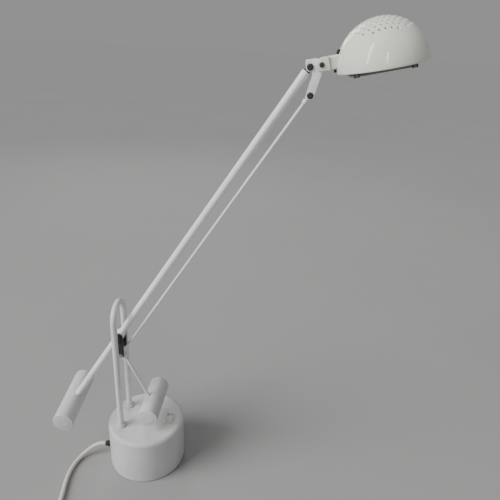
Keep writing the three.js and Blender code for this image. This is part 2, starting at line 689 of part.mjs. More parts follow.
function lampLead() {
  return swept(throughPoints([[-1, 0, 40.8], [-8, 0, 42], [-20, 0, 38.8], [-31, 0, 35.2],
    [-37, 0, 30.6], [-40, 0, 27.2]]), 1.2, 10, 6);
}

function glassCover() {
  const shape = roundedRectangle(72, 60, 4);
  return new THREE.ExtrudeGeometry(shape, { depth: 2.8, bevelEnabled: false, curveSegments: 4 })
    .translate(PANE_SHIFT, 0, -4.4);
}

// A thin ring under the reflector's flange with four hooks that hold the glass from below.
function glassFrame() {
  const profile = [[25, -5.6], [31.2, -5.6], [31.2, -0.2], [33.8, -0.2], [33.8, 0.6],
    [30.4, 0.6], [30.4, -4.8], [25, -4.8]];
  const hooks = [-1, 1].flatMap((side) => {
    const shape = outline(profile.map(([y, z]) => [side * y, z]));
    return [lengthways(shape, -36.5, -30), lengthways(shape, 26, 32)];
  });
  return combine([ring(41, 46, -0.2, 0.6, 28), ...hooks]);
}

add(head, 'shade_stub', shadeStub(), SHADE_PAINT);
add(head, 'holder_bracket', holderBracket(), STEEL);
add(dish, 'shade_shell', shadeShell(), SHADE_PAINT);
add(dish, 'shade_tab_upper', shadeTab(STUB_HEIGHT / 2 + GAP, STUB_HEIGHT / 2 + 4.8), RUBBER);
add(dish, 'shade_tab_lower', shadeTab(-STUB_HEIGHT / 2 - 3.6, -STUB_HEIGHT / 2 - GAP), RUBBER);
add(dish, 'reflector', reflector(), POLISHED);
add(dish, 'lamp_holder', lampHolder(), CERAMIC);
add(dish, 'halogen_bulb', halogenBulb(), GLASS);
add(dish, 'lamp_lead', lampLead(), BLACK_PLASTIC);
add(dish, 'glass_cover', glassCover(), GLASS);
add(dish, 'glass_frame', glassFrame(), BLACK_PLASTIC);

// ---------------------------------------------------------------- mains cord

function cordGland() {
  const flangeInner = BASE_RADIUS - BASE_WALL - 1.2;
  const profile = [[0, 46], [6, 46], [6, flangeInner - 2], [7.4, flangeInner - 2],
    [7.4, flangeInner], [6, flangeInner], [6, BASE_RADIUS + 0.6], [5.2, BASE_RADIUS + 2],
    [4, GLAND_TIP - 0.6], [0, GLAND_TIP - 0.6]];
  return turned(profile, 14).rotateY(Math.PI / 2).rotateZ(GLAND_ANGLE)
    .translate(0, 0, GLAND_HEIGHT);
}

function cordCoil() {
  const low = COIL_BOTTOM;
  const high = COIL_TOP;
  const soft = 2.4;
  return turned([
    [COIL_INNER, low + soft], [COIL_INNER + soft, low], [COIL_OUTER - soft, low],
    [COIL_OUTER, low + soft], [COIL_OUTER, high - soft - 2.4], [COIL_OUTER - 4.4, high],
    [COIL_INNER + 4.4, high], [COIL_INNER, high - soft - 2.4], [COIL_INNER, low + soft],
  ], 32);
}

function cordTie() {
  const gap = GAP + 0.1;
  const wall = 0.8;
  const inner = box(COIL_INNER - gap, COIL_OUTER + gap, -4, 4, COIL_BOTTOM - gap, COIL_TOP + gap);
  const outer = box(COIL_INNER - gap - wall, COIL_OUTER + gap + wall, -3, 3,
    COIL_BOTTOM - gap - wall, COIL_TOP + gap + wall);
  return combine([outer], [inner]).rotateZ(40 * DEG);
}

// A flat two-pin plug lying on its broad side, its relief facing the coil.
function mainsPlug() {
  const relief = turned([[0, 0], [4, 0], [5.2, 20], [0, 20]], 14).rotateY(Math.PI / 2);
  const half = 6.5;
  const body = new THREE.Shape();
  body.moveTo(19, -6);
  body.lineTo(26, -12.5);
  body.lineTo(42, -12.5);
  body.lineTo(45, -9.5);
  body.lineTo(45, 9.5);
  body.lineTo(42, 12.5);
  body.lineTo(26, 12.5);
  body.lineTo(19, 6);
  const block = new THREE.ExtrudeGeometry(body, { depth: 2 * half, bevelEnabled: false })
    .translate(0, 0, -half);
  const sockets = [-PIN_SPREAD, PIN_SPREAD].map((y) => alongBar(2.3, 40, 50, y, 0, 12));
  return combine([relief, block], sockets);
}

add(lamp, 'cord_gland', cordGland(), BLACK_PLASTIC);
add(lamp, 'mains_cord', swept(throughPoints(LEAD_ROUTE), CORD_RADIUS, 16, 8), CORD_WHITE);
const coil = groupAt(lamp, COIL_CENTRE);
add(coil, 'cord_coil', cordCoil(), CORD_WHITE);
add(coil, 'cord_tie', cordTie(), BLACK_PLASTIC);
add(lamp, 'mains_cord_tail', swept(throughPoints(TAIL_ROUTE), CORD_RADIUS, 5, 8), CORD_WHITE);
const plug = groupAt(lamp, new THREE.Vector3(PLUG_START, PLUG_Y, PLUG_HEIGHT));
add(plug, 'mains_plug', mainsPlug(), CORD_WHITE);
add(plug, 'plug_pin_1', alongBar(2, 40.4, 64, -PIN_SPREAD, 0, 12), BRASS);
add(plug, 'plug_pin_2', alongBar(2, 40.4, 64, PIN_SPREAD, 0, 12), BRASS);

export default lamp;
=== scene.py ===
"""Visual model of the counterweighted desk lamp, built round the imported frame."""
import json
from math import acos, atan2, copysign, cos, dist, hypot, pi, radians, sin, sqrt, tan

import bmesh
import bpy
from mathutils import Matrix, Vector


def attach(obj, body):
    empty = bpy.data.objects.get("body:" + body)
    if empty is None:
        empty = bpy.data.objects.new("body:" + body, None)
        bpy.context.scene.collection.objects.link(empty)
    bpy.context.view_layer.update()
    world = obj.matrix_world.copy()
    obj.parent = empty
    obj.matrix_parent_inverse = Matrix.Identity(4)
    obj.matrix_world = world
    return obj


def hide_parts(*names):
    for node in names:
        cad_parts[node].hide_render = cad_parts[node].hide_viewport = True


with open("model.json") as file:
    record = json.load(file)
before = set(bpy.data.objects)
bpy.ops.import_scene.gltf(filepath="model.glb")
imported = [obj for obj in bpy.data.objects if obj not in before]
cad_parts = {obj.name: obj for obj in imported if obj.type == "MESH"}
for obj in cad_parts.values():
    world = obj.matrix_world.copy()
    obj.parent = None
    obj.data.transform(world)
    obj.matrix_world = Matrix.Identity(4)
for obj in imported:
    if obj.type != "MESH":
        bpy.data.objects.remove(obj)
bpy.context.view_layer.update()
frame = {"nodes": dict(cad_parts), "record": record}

# ---- driving dimensions, in mm

MM = 0.001
BASE_RADIUS = 60.0
BASE_HEIGHT = 78.0
BASE_EDGE = 6.0
BASE_WALL = 2.6
TUBE_RADIUS = 4.5
ARM_RADIUS = 5.1
HOOP_X = -34.6
HOOP_HALF_WIDTH = 22.5
HOOP_TOP = 289.0
HOOP_FOOT = 64.0  # where its ends stop, inside the housing
AXLE_HEIGHT = 234.2
ARM_ANGLE = radians(57.8)
ARM_REACH = 460.0
ARM_TAIL = 155.0
ARM_WEIGHT_TWIST = radians(3.5)
LINK_OFFSET = Vector((3.0, 0.0, -30.9))
WEIGHT_RADIUS = 15.5
LEVER_ROD_ANGLE = radians(-65.4)
LEVER_ROD_REACH = 103.8
LEVER_INNER = 6.6
LEVER_OUTER = 9.4
TILT_PIVOT = Vector((12.7, 0.0, 3.1))
HEAD_TILT = radians(13.0)
SHADE_CENTRE = Vector((67.6, 0.0, -13.4))
SHADE_RADIUS = 52.0
SHADE_WALL = 1.5
STUB_HEIGHT = 15.5
PANE_SHIFT = -3.0
SWITCH_CENTRE = Vector((38.0, 2.0, 0.0))
ROCKER_PIVOT_HEIGHT = 74.5
ROCKER_REST = radians(-9.0)
GLAND_ANGLE = radians(186.0)
GLAND_DIRECTION = Vector((cos(GLAND_ANGLE), sin(GLAND_ANGLE), 0.0))
GLAND_HEIGHT = 20.0
PIN_BORE = 2.3  # radius of the holes for the pins and rivets
PLUG_PINS = (-9.3, 9.3)
CORD_DIAMETER = 6.4
COIL_CENTRE = Vector((-58.6, -172.0, 0.0))
COIL_ANGLE = radians(40.0)  # where the tie sits on the coil

SIDES = (("front", -1.0), ("rear", 1.0))

# ---- local frames, in mm

AXLE = Vector((HOOP_X, 0.0, AXLE_HEIGHT))
ROW = Matrix.Identity(4)
LEVER = Matrix.Translation(AXLE)
ARM = LEVER @ Matrix.Rotation(-ARM_ANGLE, 4, "Y")
LINK = Matrix.Translation(AXLE + LINK_OFFSET) @ Matrix.Rotation(-ARM_ANGLE, 4, "Y")
BRACKET = Matrix.Translation(ARM @ Vector((ARM_REACH, 0.0, 0.0)))
HEAD = BRACKET @ Matrix.Translation(TILT_PIVOT) @ Matrix.Rotation(-HEAD_TILT, 4, "Y")
DISH = HEAD @ Matrix.Translation(SHADE_CENTRE)


def linked(name, data):
    """A new object in the scene."""
    made = bpy.data.objects.new(name, data)
    bpy.context.collection.objects.link(made)
    return made


def shifted(place, x=0.0, y=0.0, z=0.0):
    return place @ Matrix.Translation((x, y, z))


# ---- camera

def make_camera():
    yaw, pitch, roll = radians(-2.52), radians(24.22), radians(3.14)
    ahead = Vector((sin(yaw) * cos(pitch), cos(yaw) * cos(pitch), -sin(pitch)))
    right = Vector((cos(yaw), -sin(yaw), 0.0))
    up = right.cross(ahead)
    rolled_right = right * cos(roll) + up * sin(roll)
    rolled_up = up * cos(roll) - right * sin(roll)
    data = bpy.data.cameras.new("camera")
    data.sensor_width = 36.0
    data.lens = 34.51
    data.clip_start, data.clip_end = 0.01, 20.0
    camera = linked("camera", data)
    turn = Matrix((rolled_right, rolled_up, -ahead)).transposed().to_4x4()
    camera.matrix_world = Matrix.Translation((0.1795, -0.5898, 0.6540)) @ turn
    bpy.context.scene.camera = camera


make_camera()


# ---- materials

def scaled(colour, factor, lift=0.0):
    return tuple(min(1.0, c * factor + lift) for c in colour)


class Surface:
    """A principled material being built. Its patterns lie in the piece's own metres."""

    def __init__(self, name, **sockets):
        self.material = bpy.data.materials.new(name)
        self.material.use_nodes = True
        self.tree = self.material.node_tree
        self.shader = self.tree.nodes["Principled BSDF"]
        for key, value in sockets.items():
            self.shader.inputs[key.replace("_", " ")].default_value = value
        self.place = self.tree.nodes.new("ShaderNodeTexCoord").outputs["Object"]

    def feed(self, value, socket):
        if isinstance(value, bpy.types.NodeSocket):
            self.tree.links.new(value, socket)
        else:
            socket.default_value = value

    def node(self, kind, **values):
        made = self.tree.nodes.new(kind)
        for key, value in values.items():
            self.feed(value, made.inputs[key.replace("_", " ")])
        return made

    def noise(self, scale, detail=3.0, roughness=0.55, stretch=None):
        """Fractal noise; scale is in features a metre."""
        place = self.place
        if stretch is not None:
            place = self.node("ShaderNodeMapping", Vector=place, Scale=stretch).outputs["Vector"]
        return self.node("ShaderNodeTexNoise", Vector=place, Scale=scale, Detail=detail,
            Roughness=roughness).outputs["Fac"]

    def bands(self, direction, scale, distortion, detail):
        wave = self.node("ShaderNodeTexWave", Vector=self.place, Scale=scale,
            Distortion=distortion, Detail=detail)
        wave.wave_type = "BANDS"
        wave.bands_direction = direction
        return wave.outputs["Fac"]

    def remap(self, value, low=0.3, high=0.7, to_low=0.0, to_high=1.0):
        return self.node("ShaderNodeMapRange", Value=value, From_Min=low, From_Max=high,
            To_Min=to_low, To_Max=to_high).outputs["Result"]

    def maths(self, operation, first, second):
        made = self.tree.nodes.new("ShaderNodeMath")
        made.operation = operation
        self.feed(first, made.inputs[0])
        self.feed(second, made.inputs[1])
        return made.outputs["Value"]

    def mix(self, factor, first, second):
        made = self.tree.nodes.new("ShaderNodeMix")
        made.data_type = "RGBA"
        self.feed(factor, made.inputs["Factor"])
        for socket, value in ((made.inputs[6], first), (made.inputs[7], second)):
            self.feed((*value, 1.0) if isinstance(value, tuple) else value, socket)
        return made.outputs[2]

    def upward(self):
        """How far the surface faces up, from 0 to 1."""
        normal = self.tree.nodes.new("ShaderNodeNewGeometry").outputs["Normal"]
        height = self.node("ShaderNodeSeparateXYZ", Vector=normal).outputs["Z"]
        return self.remap(height, 0.2, 1.0, 0.0, 1.0)

    def finish(self, colour, gloss, *bumps):
        """Links colour and roughness, and stacks the bumps: (height, strength, metres)."""
        self.feed(colour, self.shader.inputs["Base Color"])
        self.feed(gloss, self.shader.inputs["Roughness"])
        normal = {}
        for height, strength, distance in bumps:
            bump = self.node("ShaderNodeBump", Height=height, Strength=strength, Distance=distance,
                **normal)
            normal = {"Normal": bump.outputs["Normal"]}
        self.feed(normal["Normal"], self.shader.inputs["Normal"])
        return self.material


def paint(name, colour, roughness, peel=0.10, coat=0.0, dust=0.25, scuffs=0.35):
    """Sprayed enamel: orange peel, faint clouds, settled dust, smudges and rubbed patches."""
    s = Surface(name, Coat_Weight=coat, Coat_Roughness=0.09)
    clouds = s.remap(s.noise(28.0, 4.0))
    specks = s.remap(s.noise(520.0, 2.0, 0.7), 0.66, 0.74, 0.0, 0.55)
    grime = s.remap(s.noise(75.0, 6.0, 0.65), 0.35, 0.75, 0.0, dust)
    settled = s.maths("MULTIPLY", s.upward(), grime)
    smudged = s.remap(s.noise(120.0, 5.0, 0.62, (1.0, 1.0, 0.2)), 0.52, 0.72, 0.0, scuffs)
    body = s.mix(clouds, scaled(colour, 0.90), colour)
    body = s.mix(specks, body, scaled(colour, 0.80))
    body = s.mix(settled, body, (colour[0] * 0.80, colour[1] * 0.77, colour[2] * 0.71))
    body = s.mix(smudged, body, scaled(colour, 0.78))
    rubbed = s.remap(s.noise(46.0, 5.0, 0.6), 0.38, 0.68, -0.05, 0.05)
    scratches = s.noise(260.0, 4.0, 0.6, (1.0, 0.16, 1.0))
    scratched = s.remap(scratches, 0.60, 0.68, 0.0, scuffs * 0.3)
    gloss = s.maths("ADD", s.maths("ADD", rubbed, scratched), roughness)
    gloss = s.maths("ADD", gloss, s.maths("MULTIPLY", settled, 0.35))
    return s.finish(body, gloss, (s.noise(620.0, 2.0, 0.5), peel, 0.00022),
        (s.noise(2600.0, 2.0, 0.6), peel * 0.5, 0.00005))


def plastic(name, colour, roughness, grain=0.25, fade=0.35):
    """Moulded plastic: fine spark-eroded grain, faded rub marks and a little dust."""
    s = Surface(name, Specular_IOR_Level=0.45)
    patches = s.remap(s.noise(90.0, 5.0, 0.65), 0.42, 0.72, 0.0, fade)
    settled = s.remap(s.noise(210.0, 4.0, 0.7), 0.45, 0.75, 0.0, 0.30)
    body = s.mix(patches, colour, scaled(colour, 1.35, 0.018))
    body = s.mix(s.maths("MULTIPLY", s.upward(), settled), body, (0.36, 0.34, 0.31))
    gloss = s.remap(s.noise(150.0, 4.0), 0.3, 0.7, roughness - 0.08, roughness + 0.10)
    return s.finish(body, gloss, (s.noise(3200.0, 1.0, 0.5), grain, 0.00006),
        (s.noise(240.0, 3.0, 0.5), grain * 0.4, 0.00012))


def metal(name, colour, roughness, brushed=(1.0, 1.0, 1.0), tarnish=0.3, relief=0.12):
    """Bare or plated metal: fine drawn lines, clouded tarnish and small dark stains."""
    s = Surface(name, Metallic=1.0)
    clouds = s.remap(s.noise(110.0, 5.0, 0.65), 0.35, 0.7, 0.0, tarnish)
    lines = s.noise(1400.0, 2.0, 0.6, brushed)
    gloss = s.remap(lines, 0.3, 0.7, roughness - 0.06, roughness + 0.12)
    return s.finish(s.mix(clouds, colour, scaled(colour, 0.66)), gloss, (lines, relief, 0.00004),
        (s.noise(160.0, 3.0), relief * 0.6, 0.00010))


def rubber(name, colour):
    """Matt rubber with a blotched bloom and a fine open grain."""
    s = Surface(name, Specular_IOR_Level=0.3)
    bloom = s.remap(s.noise(130.0, 5.0, 0.7), 0.4, 0.75, 0.0, 0.5)
    return s.finish(s.mix(bloom, colour, scaled(colour, 1.8, 0.015)),
        s.remap(bloom, 0.0, 0.5, 0.62, 0.85), (s.noise(1800.0, 3.0, 0.7), 0.35, 0.0001))


def glass(name, tint, streaks=0.05):
    """Clear glass with fingerprints and a film of dust that dull it in patches."""
    s = Surface(name, Transmission_Weight=1.0, IOR=1.5)
    film = s.remap(s.noise(70.0, 5.0, 0.6), 0.42, 0.72, 0.0, 0.35)
    smears = s.noise(190.0, 5.0, 0.65, (1.0, 0.3, 1.0))
    return s.finish(s.mix(film, tint, scaled(tint, 0.86)), s.remap(smears, 0.4, 0.75, 0.015,
        0.015 + streaks * 3.0), (s.noise(60.0, 2.0), 0.03, 0.00015))


def ground_edge(name):
    """The ground edge of float glass: deep green, finely frosted, with tiny chips; its greens are
    lifted lighter as painted light, where the edge sits in the dome's shade.
    """
    s = Surface(name, Specular_IOR_Level=0.6)
    depth = s.remap(s.noise(140.0, 4.0))
    chips = s.remap(s.noise(900.0, 2.0, 0.7), 0.66, 0.72, 0.0, 0.8)
    # both greens are lifted as painted light: lighter than the edge's own green, against the dome's
    # shade
    body = s.mix(depth, (0.150, 0.215, 0.185), (0.225, 0.300, 0.262))
    return s.finish(s.mix(chips, body, (0.30, 0.36, 0.33)), s.remap(depth, 0.0, 1.0, 0.22, 0.42),
        (s.noise(1500.0, 2.0), 0.25, 0.00006))


def sheath(name, colour):
    """Extruded PVC: soft sheen, handling marks, specks of dust and a faint ripple."""
    s = Surface(name, Specular_IOR_Level=0.4, Sheen_Weight=0.05)
    marks = s.remap(s.noise(55.0, 5.0, 0.65), 0.40, 0.72, 0.0, 0.5)
    specks = s.remap(s.noise(700.0, 2.0), 0.66, 0.74, 0.0, 0.45)
    body = s.mix(specks, s.mix(marks, colour, scaled(colour, 0.84)), (0.33, 0.30, 0.26))
    return s.finish(body, s.remap(s.noise(240.0, 4.0), 0.3, 0.7, 0.36, 0.54),
        (s.noise(420.0, 3.0, 0.5), 0.16, 0.00018), (s.noise(2400.0, 1.0), 0.1, 0.00005))


def winding(name):
    """Enamelled copper wire wound in close layers round the core's middle leg."""
    s = Surface(name, Metallic=0.75)
    wires = s.bands("Z", 260.0, 0.4, 2.0)
    varnish = s.remap(s.noise(120.0, 4.0))
    return s.finish(s.mix(varnish, (0.36, 0.13, 0.05), (0.58, 0.27, 0.11)),
        s.remap(wires, 0.0, 1.0, 0.28, 0.45), (wires, 0.6, 0.00040))


def laminated(name):
    """Stacked iron laminations, varnished, with rust starting along the edges."""
    s = Surface(name, Metallic=0.8)
    sheets = s.bands("Y", 330.0, 0.2, 1.0)
    rust = s.remap(s.noise(95.0, 6.0, 0.7), 0.52, 0.70, 0.0, 0.7)
    return s.finish(s.mix(rust, (0.10, 0.10, 0.105), (0.22, 0.10, 0.05)),
        s.remap(rust, 0.0, 0.7, 0.40, 0.75), (sheets, 0.5, 0.00030))


def spun_reflector(name):
    """Spun and anodised aluminium: fine circular lines and a faint bloom."""
    s = Surface(name, Metallic=1.0)
    lines = s.noise(900.0, 3.0, 0.6, (0.25, 0.25, 1.0))
    bloom = s.remap(s.noise(60.0, 4.0), 0.4, 0.75, 0.0, 0.4)
    return s.finish(s.mix(bloom, (0.86, 0.86, 0.85), (0.70, 0.69, 0.66)),
        s.remap(lines, 0.3, 0.7, 0.10, 0.24), (lines, 0.10, 0.00008))


# slot: the function that makes the material, then what it is given
RECIPES = {
    "housing_paint": (paint, (0.63, 0.63, 0.628), 0.34, 0.42),
    # arm_paint is a whiter paint than the housing's, lifted further as a painted highlight on the
    # arm, rods and cheeks
    "arm_paint": (paint, (0.88, 0.88, 0.875), 0.22, 0.08, 0.6, 0.15),
    "weight_paint": (paint, (0.64, 0.64, 0.64), 0.38, 0.42),
    "shade_paint": (paint, (0.770, 0.803, 0.700), 0.17, 0.05, 0.6, 0.12, 0.15),
    "switch_plastic": (plastic, (0.76, 0.75, 0.71), 0.30, 0.12, 0.12),
    "black_plastic": (plastic, (0.032, 0.032, 0.034), 0.32),
    "steel": (metal, (0.55, 0.56, 0.57), 0.30, (1.0, 0.15, 1.0)),
    "core_iron": (laminated,),
    "winding": (winding,),
    "terminal_ceramic": (plastic, (0.72, 0.70, 0.64), 0.55, 0.45, 0.15),
    "reflector_metal": (spun_reflector,),
    "clear_glass": (glass, (0.97, 0.98, 0.98), 0.02),
    "cover_glass": (glass, (0.80, 0.91, 0.865), 0.03),
    "rubber": (rubber, (0.016, 0.016, 0.016)),
    "cord_sheath": (sheath, (0.68, 0.655, 0.60)),
    "pin_brass": (metal, (0.70, 0.62, 0.40), 0.24, (0.2, 1.0, 1.0), 0.35),
}
MATERIALS = {name: make(name, *values) for name, (make, *values) in RECIPES.items()}
# drawn tungsten, dulled by heat in bands
FILAMENT = metal("filament", (0.42, 0.42, 0.44), 0.42, (1.0, 1.0, 0.2), 0.5, 0.2)
GLASS_EDGE = ground_edge("glass_edge")
# painted light: a lighter copy of the housing paint for the hoop, standing for the brighter light
# the hoop catches
HOOP_PAINT_LIT_COPY = paint("hoop_paint_lit_copy", (0.75, 0.75, 0.747), 0.26, 0.12, 0.4, 0.20)


# ---- mesh tools, in mm

SAME_POINT = 0.02
BEVEL_ANGLE = radians(32.0)
SHARP_ANGLE = radians(34.0)

def rounded(points, closed=False, steps=6):
    """Points (x, y) or (x, y, radius), with each given radius turned into an arc."""
    made = []
    count = len(points)
    for i, point in enumerate(points):
        here = Vector(point[:2])
        back = Vector(points[i - 1][:2]) - here
        on = Vector(points[(i + 1) % count][:2]) - here
        turns = len(point) > 2 and point[2] > 0.0 and (closed or 0 < i < count - 1)
        half = back.angle(on) / 2.0 if turns else pi
        if half > pi / 2.0 - 0.01:  # no arc, or no corner
            made.append(tuple(here))
            continue
        reach = min(point[2] / tan(half), 0.49 * back.length, 0.49 * on.length)
        back.normalize()
        on.normalize()
        radius = reach * tan(half)
        centre = here + (back + on).normalized() * (radius / sin(half))
        start = here + back * reach - centre
        end = here + on * reach - centre
        first = atan2(start.y, start.x)
        sweep = atan2(end.y, end.x) - first
        sweep = (sweep + pi) % (2.0 * pi) - pi
        for k in range(steps + 1):
            angle = first + sweep * k / steps
            made.append((centre.x + radius * cos(angle), centre.y + radius * sin(angle)))
    return made


def mirrored(half):
    """Points followed by their mirror images, with the second number negated."""
    return half + [(x, -y, *rest) for x, y, *rest in half[::-1]]


def rounded_box(x0, x1, y0, y1, corner, steps=6):
    return rounded([(x0, y0, corner), (x1, y0, corner), (x1, y1, corner), (x0, y1, corner)],
        closed=True, steps=steps)


def bar_profile(radius, low, high, edge=0.0, steps=6):
    """For the lathe: a solid bar from low to high."""
    points = [(0.0, low), (radius, low, edge), (radius, high, edge), (0.0, high)]
    return rounded(points, steps=steps) if edge else [point[:2] for point in points]


def ring_profile(inner, outer, low, high, edge, bore_edge=0.0, steps=6):
    """For the lathe, closed: a ring or tube from low to high."""
    return rounded([(inner, low, bore_edge), (outer, low, edge), (outer, high, edge),
        (inner, high, bore_edge)], closed=True, steps=steps)


def arc(cx, cy, radius, first, last, count):
    """Points of an arc from first to last degrees."""
    angles = [radians(first + (last - first) * k / count) for k in range(count + 1)]
    return [(cx + radius * cos(a), cy + radius * sin(a)) for a in angles]


def skin(rings, closed_along=False, capped=False):
    """A mesh through rings of points; a ring of one point is a pole."""
    bm = bmesh.new()
    rows = [[bm.verts.new(p) for p in ring] for ring in rings]
    pairs = list(zip(rows, rows[1:]))
    if closed_along:
        pairs.append((rows[-1], rows[0]))
    for low, high in pairs:
        count = max(len(low), len(high))
        for i in range(count):
            j = (i + 1) % count
            if len(low) == 1:
                bm.faces.new((low[0], high[j], high[i]))
            elif len(high) == 1:
                bm.faces.new((low[i], low[j], high[0]))
            else:
                bm.faces.new((low[i], low[j], high[j], high[i]))
    if capped:
        bm.faces.new(rows[0][::-1])
        bm.faces.new(rows[-1])
    bmesh.ops.recalc_face_normals(bm, faces=bm.faces)
    return bm


def lathe(profile, sides=96, closed=False):
    """A body of revolution about Z from (radius, height) points."""
    turns = [2.0 * pi * k / sides for k in range(sides)]
    rings = [[(radius * cos(a), radius * sin(a), height)
        for a in turns] if radius > 1e-6 else [(0.0, 0.0, height)] for radius, height in profile]
    return skin(rings, closed)


def turn_to(origin, direction):
    """A frame at origin whose Z axis points along direction."""
    turn = Vector(direction).to_track_quat("Z", "Y").to_matrix().to_4x4()
    return Matrix.Translation(Vector(origin)) @ turn


def moved(bm, matrix):
    bmesh.ops.transform(bm, matrix=matrix, verts=bm.verts)
    return bm


def lathe_along(origin, direction, profile, sides=96, closed=False):
    return moved(lathe(profile, sides, closed), turn_to(origin, direction))


def lathe_across(profile, x=0.0, z=0.0, sides=96, closed=False):
    """A body of revolution about the line along Y through (x, z); heights are along +Y."""
    return lathe_along((x, 0.0, z), (0.0, 1.0, 0.0), profile, sides, closed)


def lathe_forward(profile, sides, closed=False, y=0.0, toward=1.0):
    """A body of revolution about the line along X through y."""
    return lathe_along((0.0, y, 0.0), (toward, 0.0, 0.0), profile, sides, closed)


def plain_bar(radius, start, end, sides=48, edge=0.4):
    """A straight round bar with softened ends."""
    length = (Vector(end) - Vector(start)).length
    return lathe_along(start, Vector(end) - Vector(start), bar_profile(radius, 0.0, length, edge,
        4), sides)


def inset(points, amount):
    """The closed outline moved inwards by amount; points run counter-clockwise."""
    made = []
    count = len(points)
    for i in range(count):
        here = Vector(points[i])
        back = (here - Vector(points[i - 1])).normalized()
        on = (Vector(points[(i + 1) % count]) - here).normalized()
        n0, n1 = Vector((-back.y, back.x)), Vector((-on.y, on.x))
        middle = n0 + n1
        middle *= amount / max(0.35, middle.dot(n0))
        made.append((here.x + middle.x, here.y + middle.y))
    return made


def tidy_outline(points):
    """Counter-clockwise, with doubled points removed."""
    kept = []
    for point in points:
        if not kept or dist(point, kept[-1]) > SAME_POINT:
            kept.append(tuple(point))
    if dist(kept[0], kept[-1]) < SAME_POINT:
        kept.pop()
    area = sum(a[0] * b[1] - b[0] * a[1] for a, b in zip(kept, kept[1:] + kept[:1]))
    return kept if area > 0 else kept[::-1]


def slab(outline, low, high, edge=0.5, steps=4):
    """The outline, in X and Y, made solid along Z from low to high with rounded rims."""
    outline = tidy_outline(outline)
    quarter = [pi / 2.0 * k / steps for k in range(steps + 1)]
    levels = [(edge * (1.0 - sin(a)), low + edge * (1.0 - cos(a))) for a in quarter]
    levels += [(edge * (1.0 - cos(a)), high - edge * (1.0 - sin(a))) for a in quarter]
    return skin([[(x, y, height) for x, y in inset(outline, amount)] for amount, height in levels],
        capped=True)


STAND = Matrix.Rotation(pi / 2.0, 4, "X")  # lays X, Y outlines into X, Z
LENGTHWAYS = Matrix(((0, 0, 1, 0), (1, 0, 0, 0), (0, 1, 0, 0), (0, 0, 0, 1)))


def sideways(outline, y0, y1, edge=0.5, steps=4):
    """An outline in X and Z made solid from y0 to y1."""
    return moved(slab(outline, -y1, -y0, edge, steps), STAND)


def lengthways(outline, x0, x1, edge=0.5, steps=4):
    """An outline in Y and Z made solid from x0 to x1."""
    return moved(slab(outline, x0, x1, edge, steps), LENGTHWAYS)


def block(x0, x1, y0, y1, z0, z1, edge=0.3, corner=0.6):
    return slab(rounded_box(x0, x1, y0, y1, corner, 4), z0, z1, edge, 3)


def cutter_block(x0, x1, y0, y1, z0, z1):
    return slab([(x0, y0), (x1, y0), (x1, y1), (x0, y1)], z0, z1, 0.0, 1)


def swept(points, radius, sides):
    """A round tube along points, with flat ends."""
    points = [Vector(p) for p in points]
    ahead = [(b - a).normalized() for a, b in zip(points, points[1:])]
    tangents = [ahead[0]]
    tangents += [(a + b).normalized() for a, b in zip(ahead, ahead[1:])] + [ahead[-1]]
    side = tangents[0].orthogonal().normalized()
    rings = []
    for point, tangent in zip(points, tangents):
        side = (side - tangent * side.dot(tangent)).normalized()
        other = tangent.cross(side)
        rings.append([point + (side * cos(a) + other * sin(a)) * radius
            for a in (2.0 * pi * k / sides for k in range(sides))])
    return skin(rings, capped=True)


def joined(*parts):
    """Several meshes as one, without merging them."""
    whole = bmesh.new()
    for part in parts:
        mesh = bpy.data.meshes.new("part")
        part.to_mesh(mesh)
        part.free()
        whole.from_mesh(mesh)
        bpy.data.meshes.remove(mesh)
    return whole


def as_object(bm, name):
    mesh = bpy.data.meshes.new(name)
    bm.to_mesh(mesh)
    bm.free()
    return linked(name, mesh)


def modified(made, kind, **settings):
    """Adds one modifier with these settings and applies it."""
    modifier = made.modifiers.new("step", kind)
    for key, value in settings.items():
        setattr(modifier, key, value)
    graph = bpy.context.evaluated_depsgraph_get()
    mesh = bpy.data.meshes.new_from_object(made.evaluated_get(graph))
    old = made.data
    made.modifiers.clear()
    made.data = mesh
    bpy.data.meshes.remove(old)


def boolean(made, other, operation):
    modified(made, "BOOLEAN", operation=operation, solver="EXACT", object=other)
    mesh = other.data
    bpy.data.objects.remove(other)
    bpy.data.meshes.remove(mesh)


def dress(mesh, material, sharp):
    mesh.polygons.foreach_set("use_smooth", [True] * len(mesh.polygons))
    mesh.set_sharp_from_angle(angle=sharp)
    mesh.materials.clear()
    mesh.materials.append(material)


def piece(name, bm, body, slot, node=None, place=ROW, unions=(), cuts=(), keeps=(), bevel=0.0,
          segments=3, sharp=SHARP_ANGLE, material=None):
    """Makes a finished piece: joins, cuts and softens it, then puts it in the row frame."""
    made = as_object(bm, name)
    for operation, others in (("UNION", unions), ("DIFFERENCE", cuts), ("INTERSECT", keeps)):
        for other in others:
            boolean(made, as_object(other, "tool"), operation)
    if bevel > 0.0:
        modified(made, "BEVEL", width=bevel, segments=segments, limit_method="ANGLE",
            angle_limit=BEVEL_ANGLE, use_clamp_overlap=True)
    mesh = made.data
    mesh.transform(place)
    mesh.transform(Matrix.Scale(MM, 4))
    dress(mesh, material or MATERIALS[slot], sharp)
    mesh.update()
    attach(made, body)
    if node:
        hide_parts(node)
    return made


# ---- mains cord, coil and tie

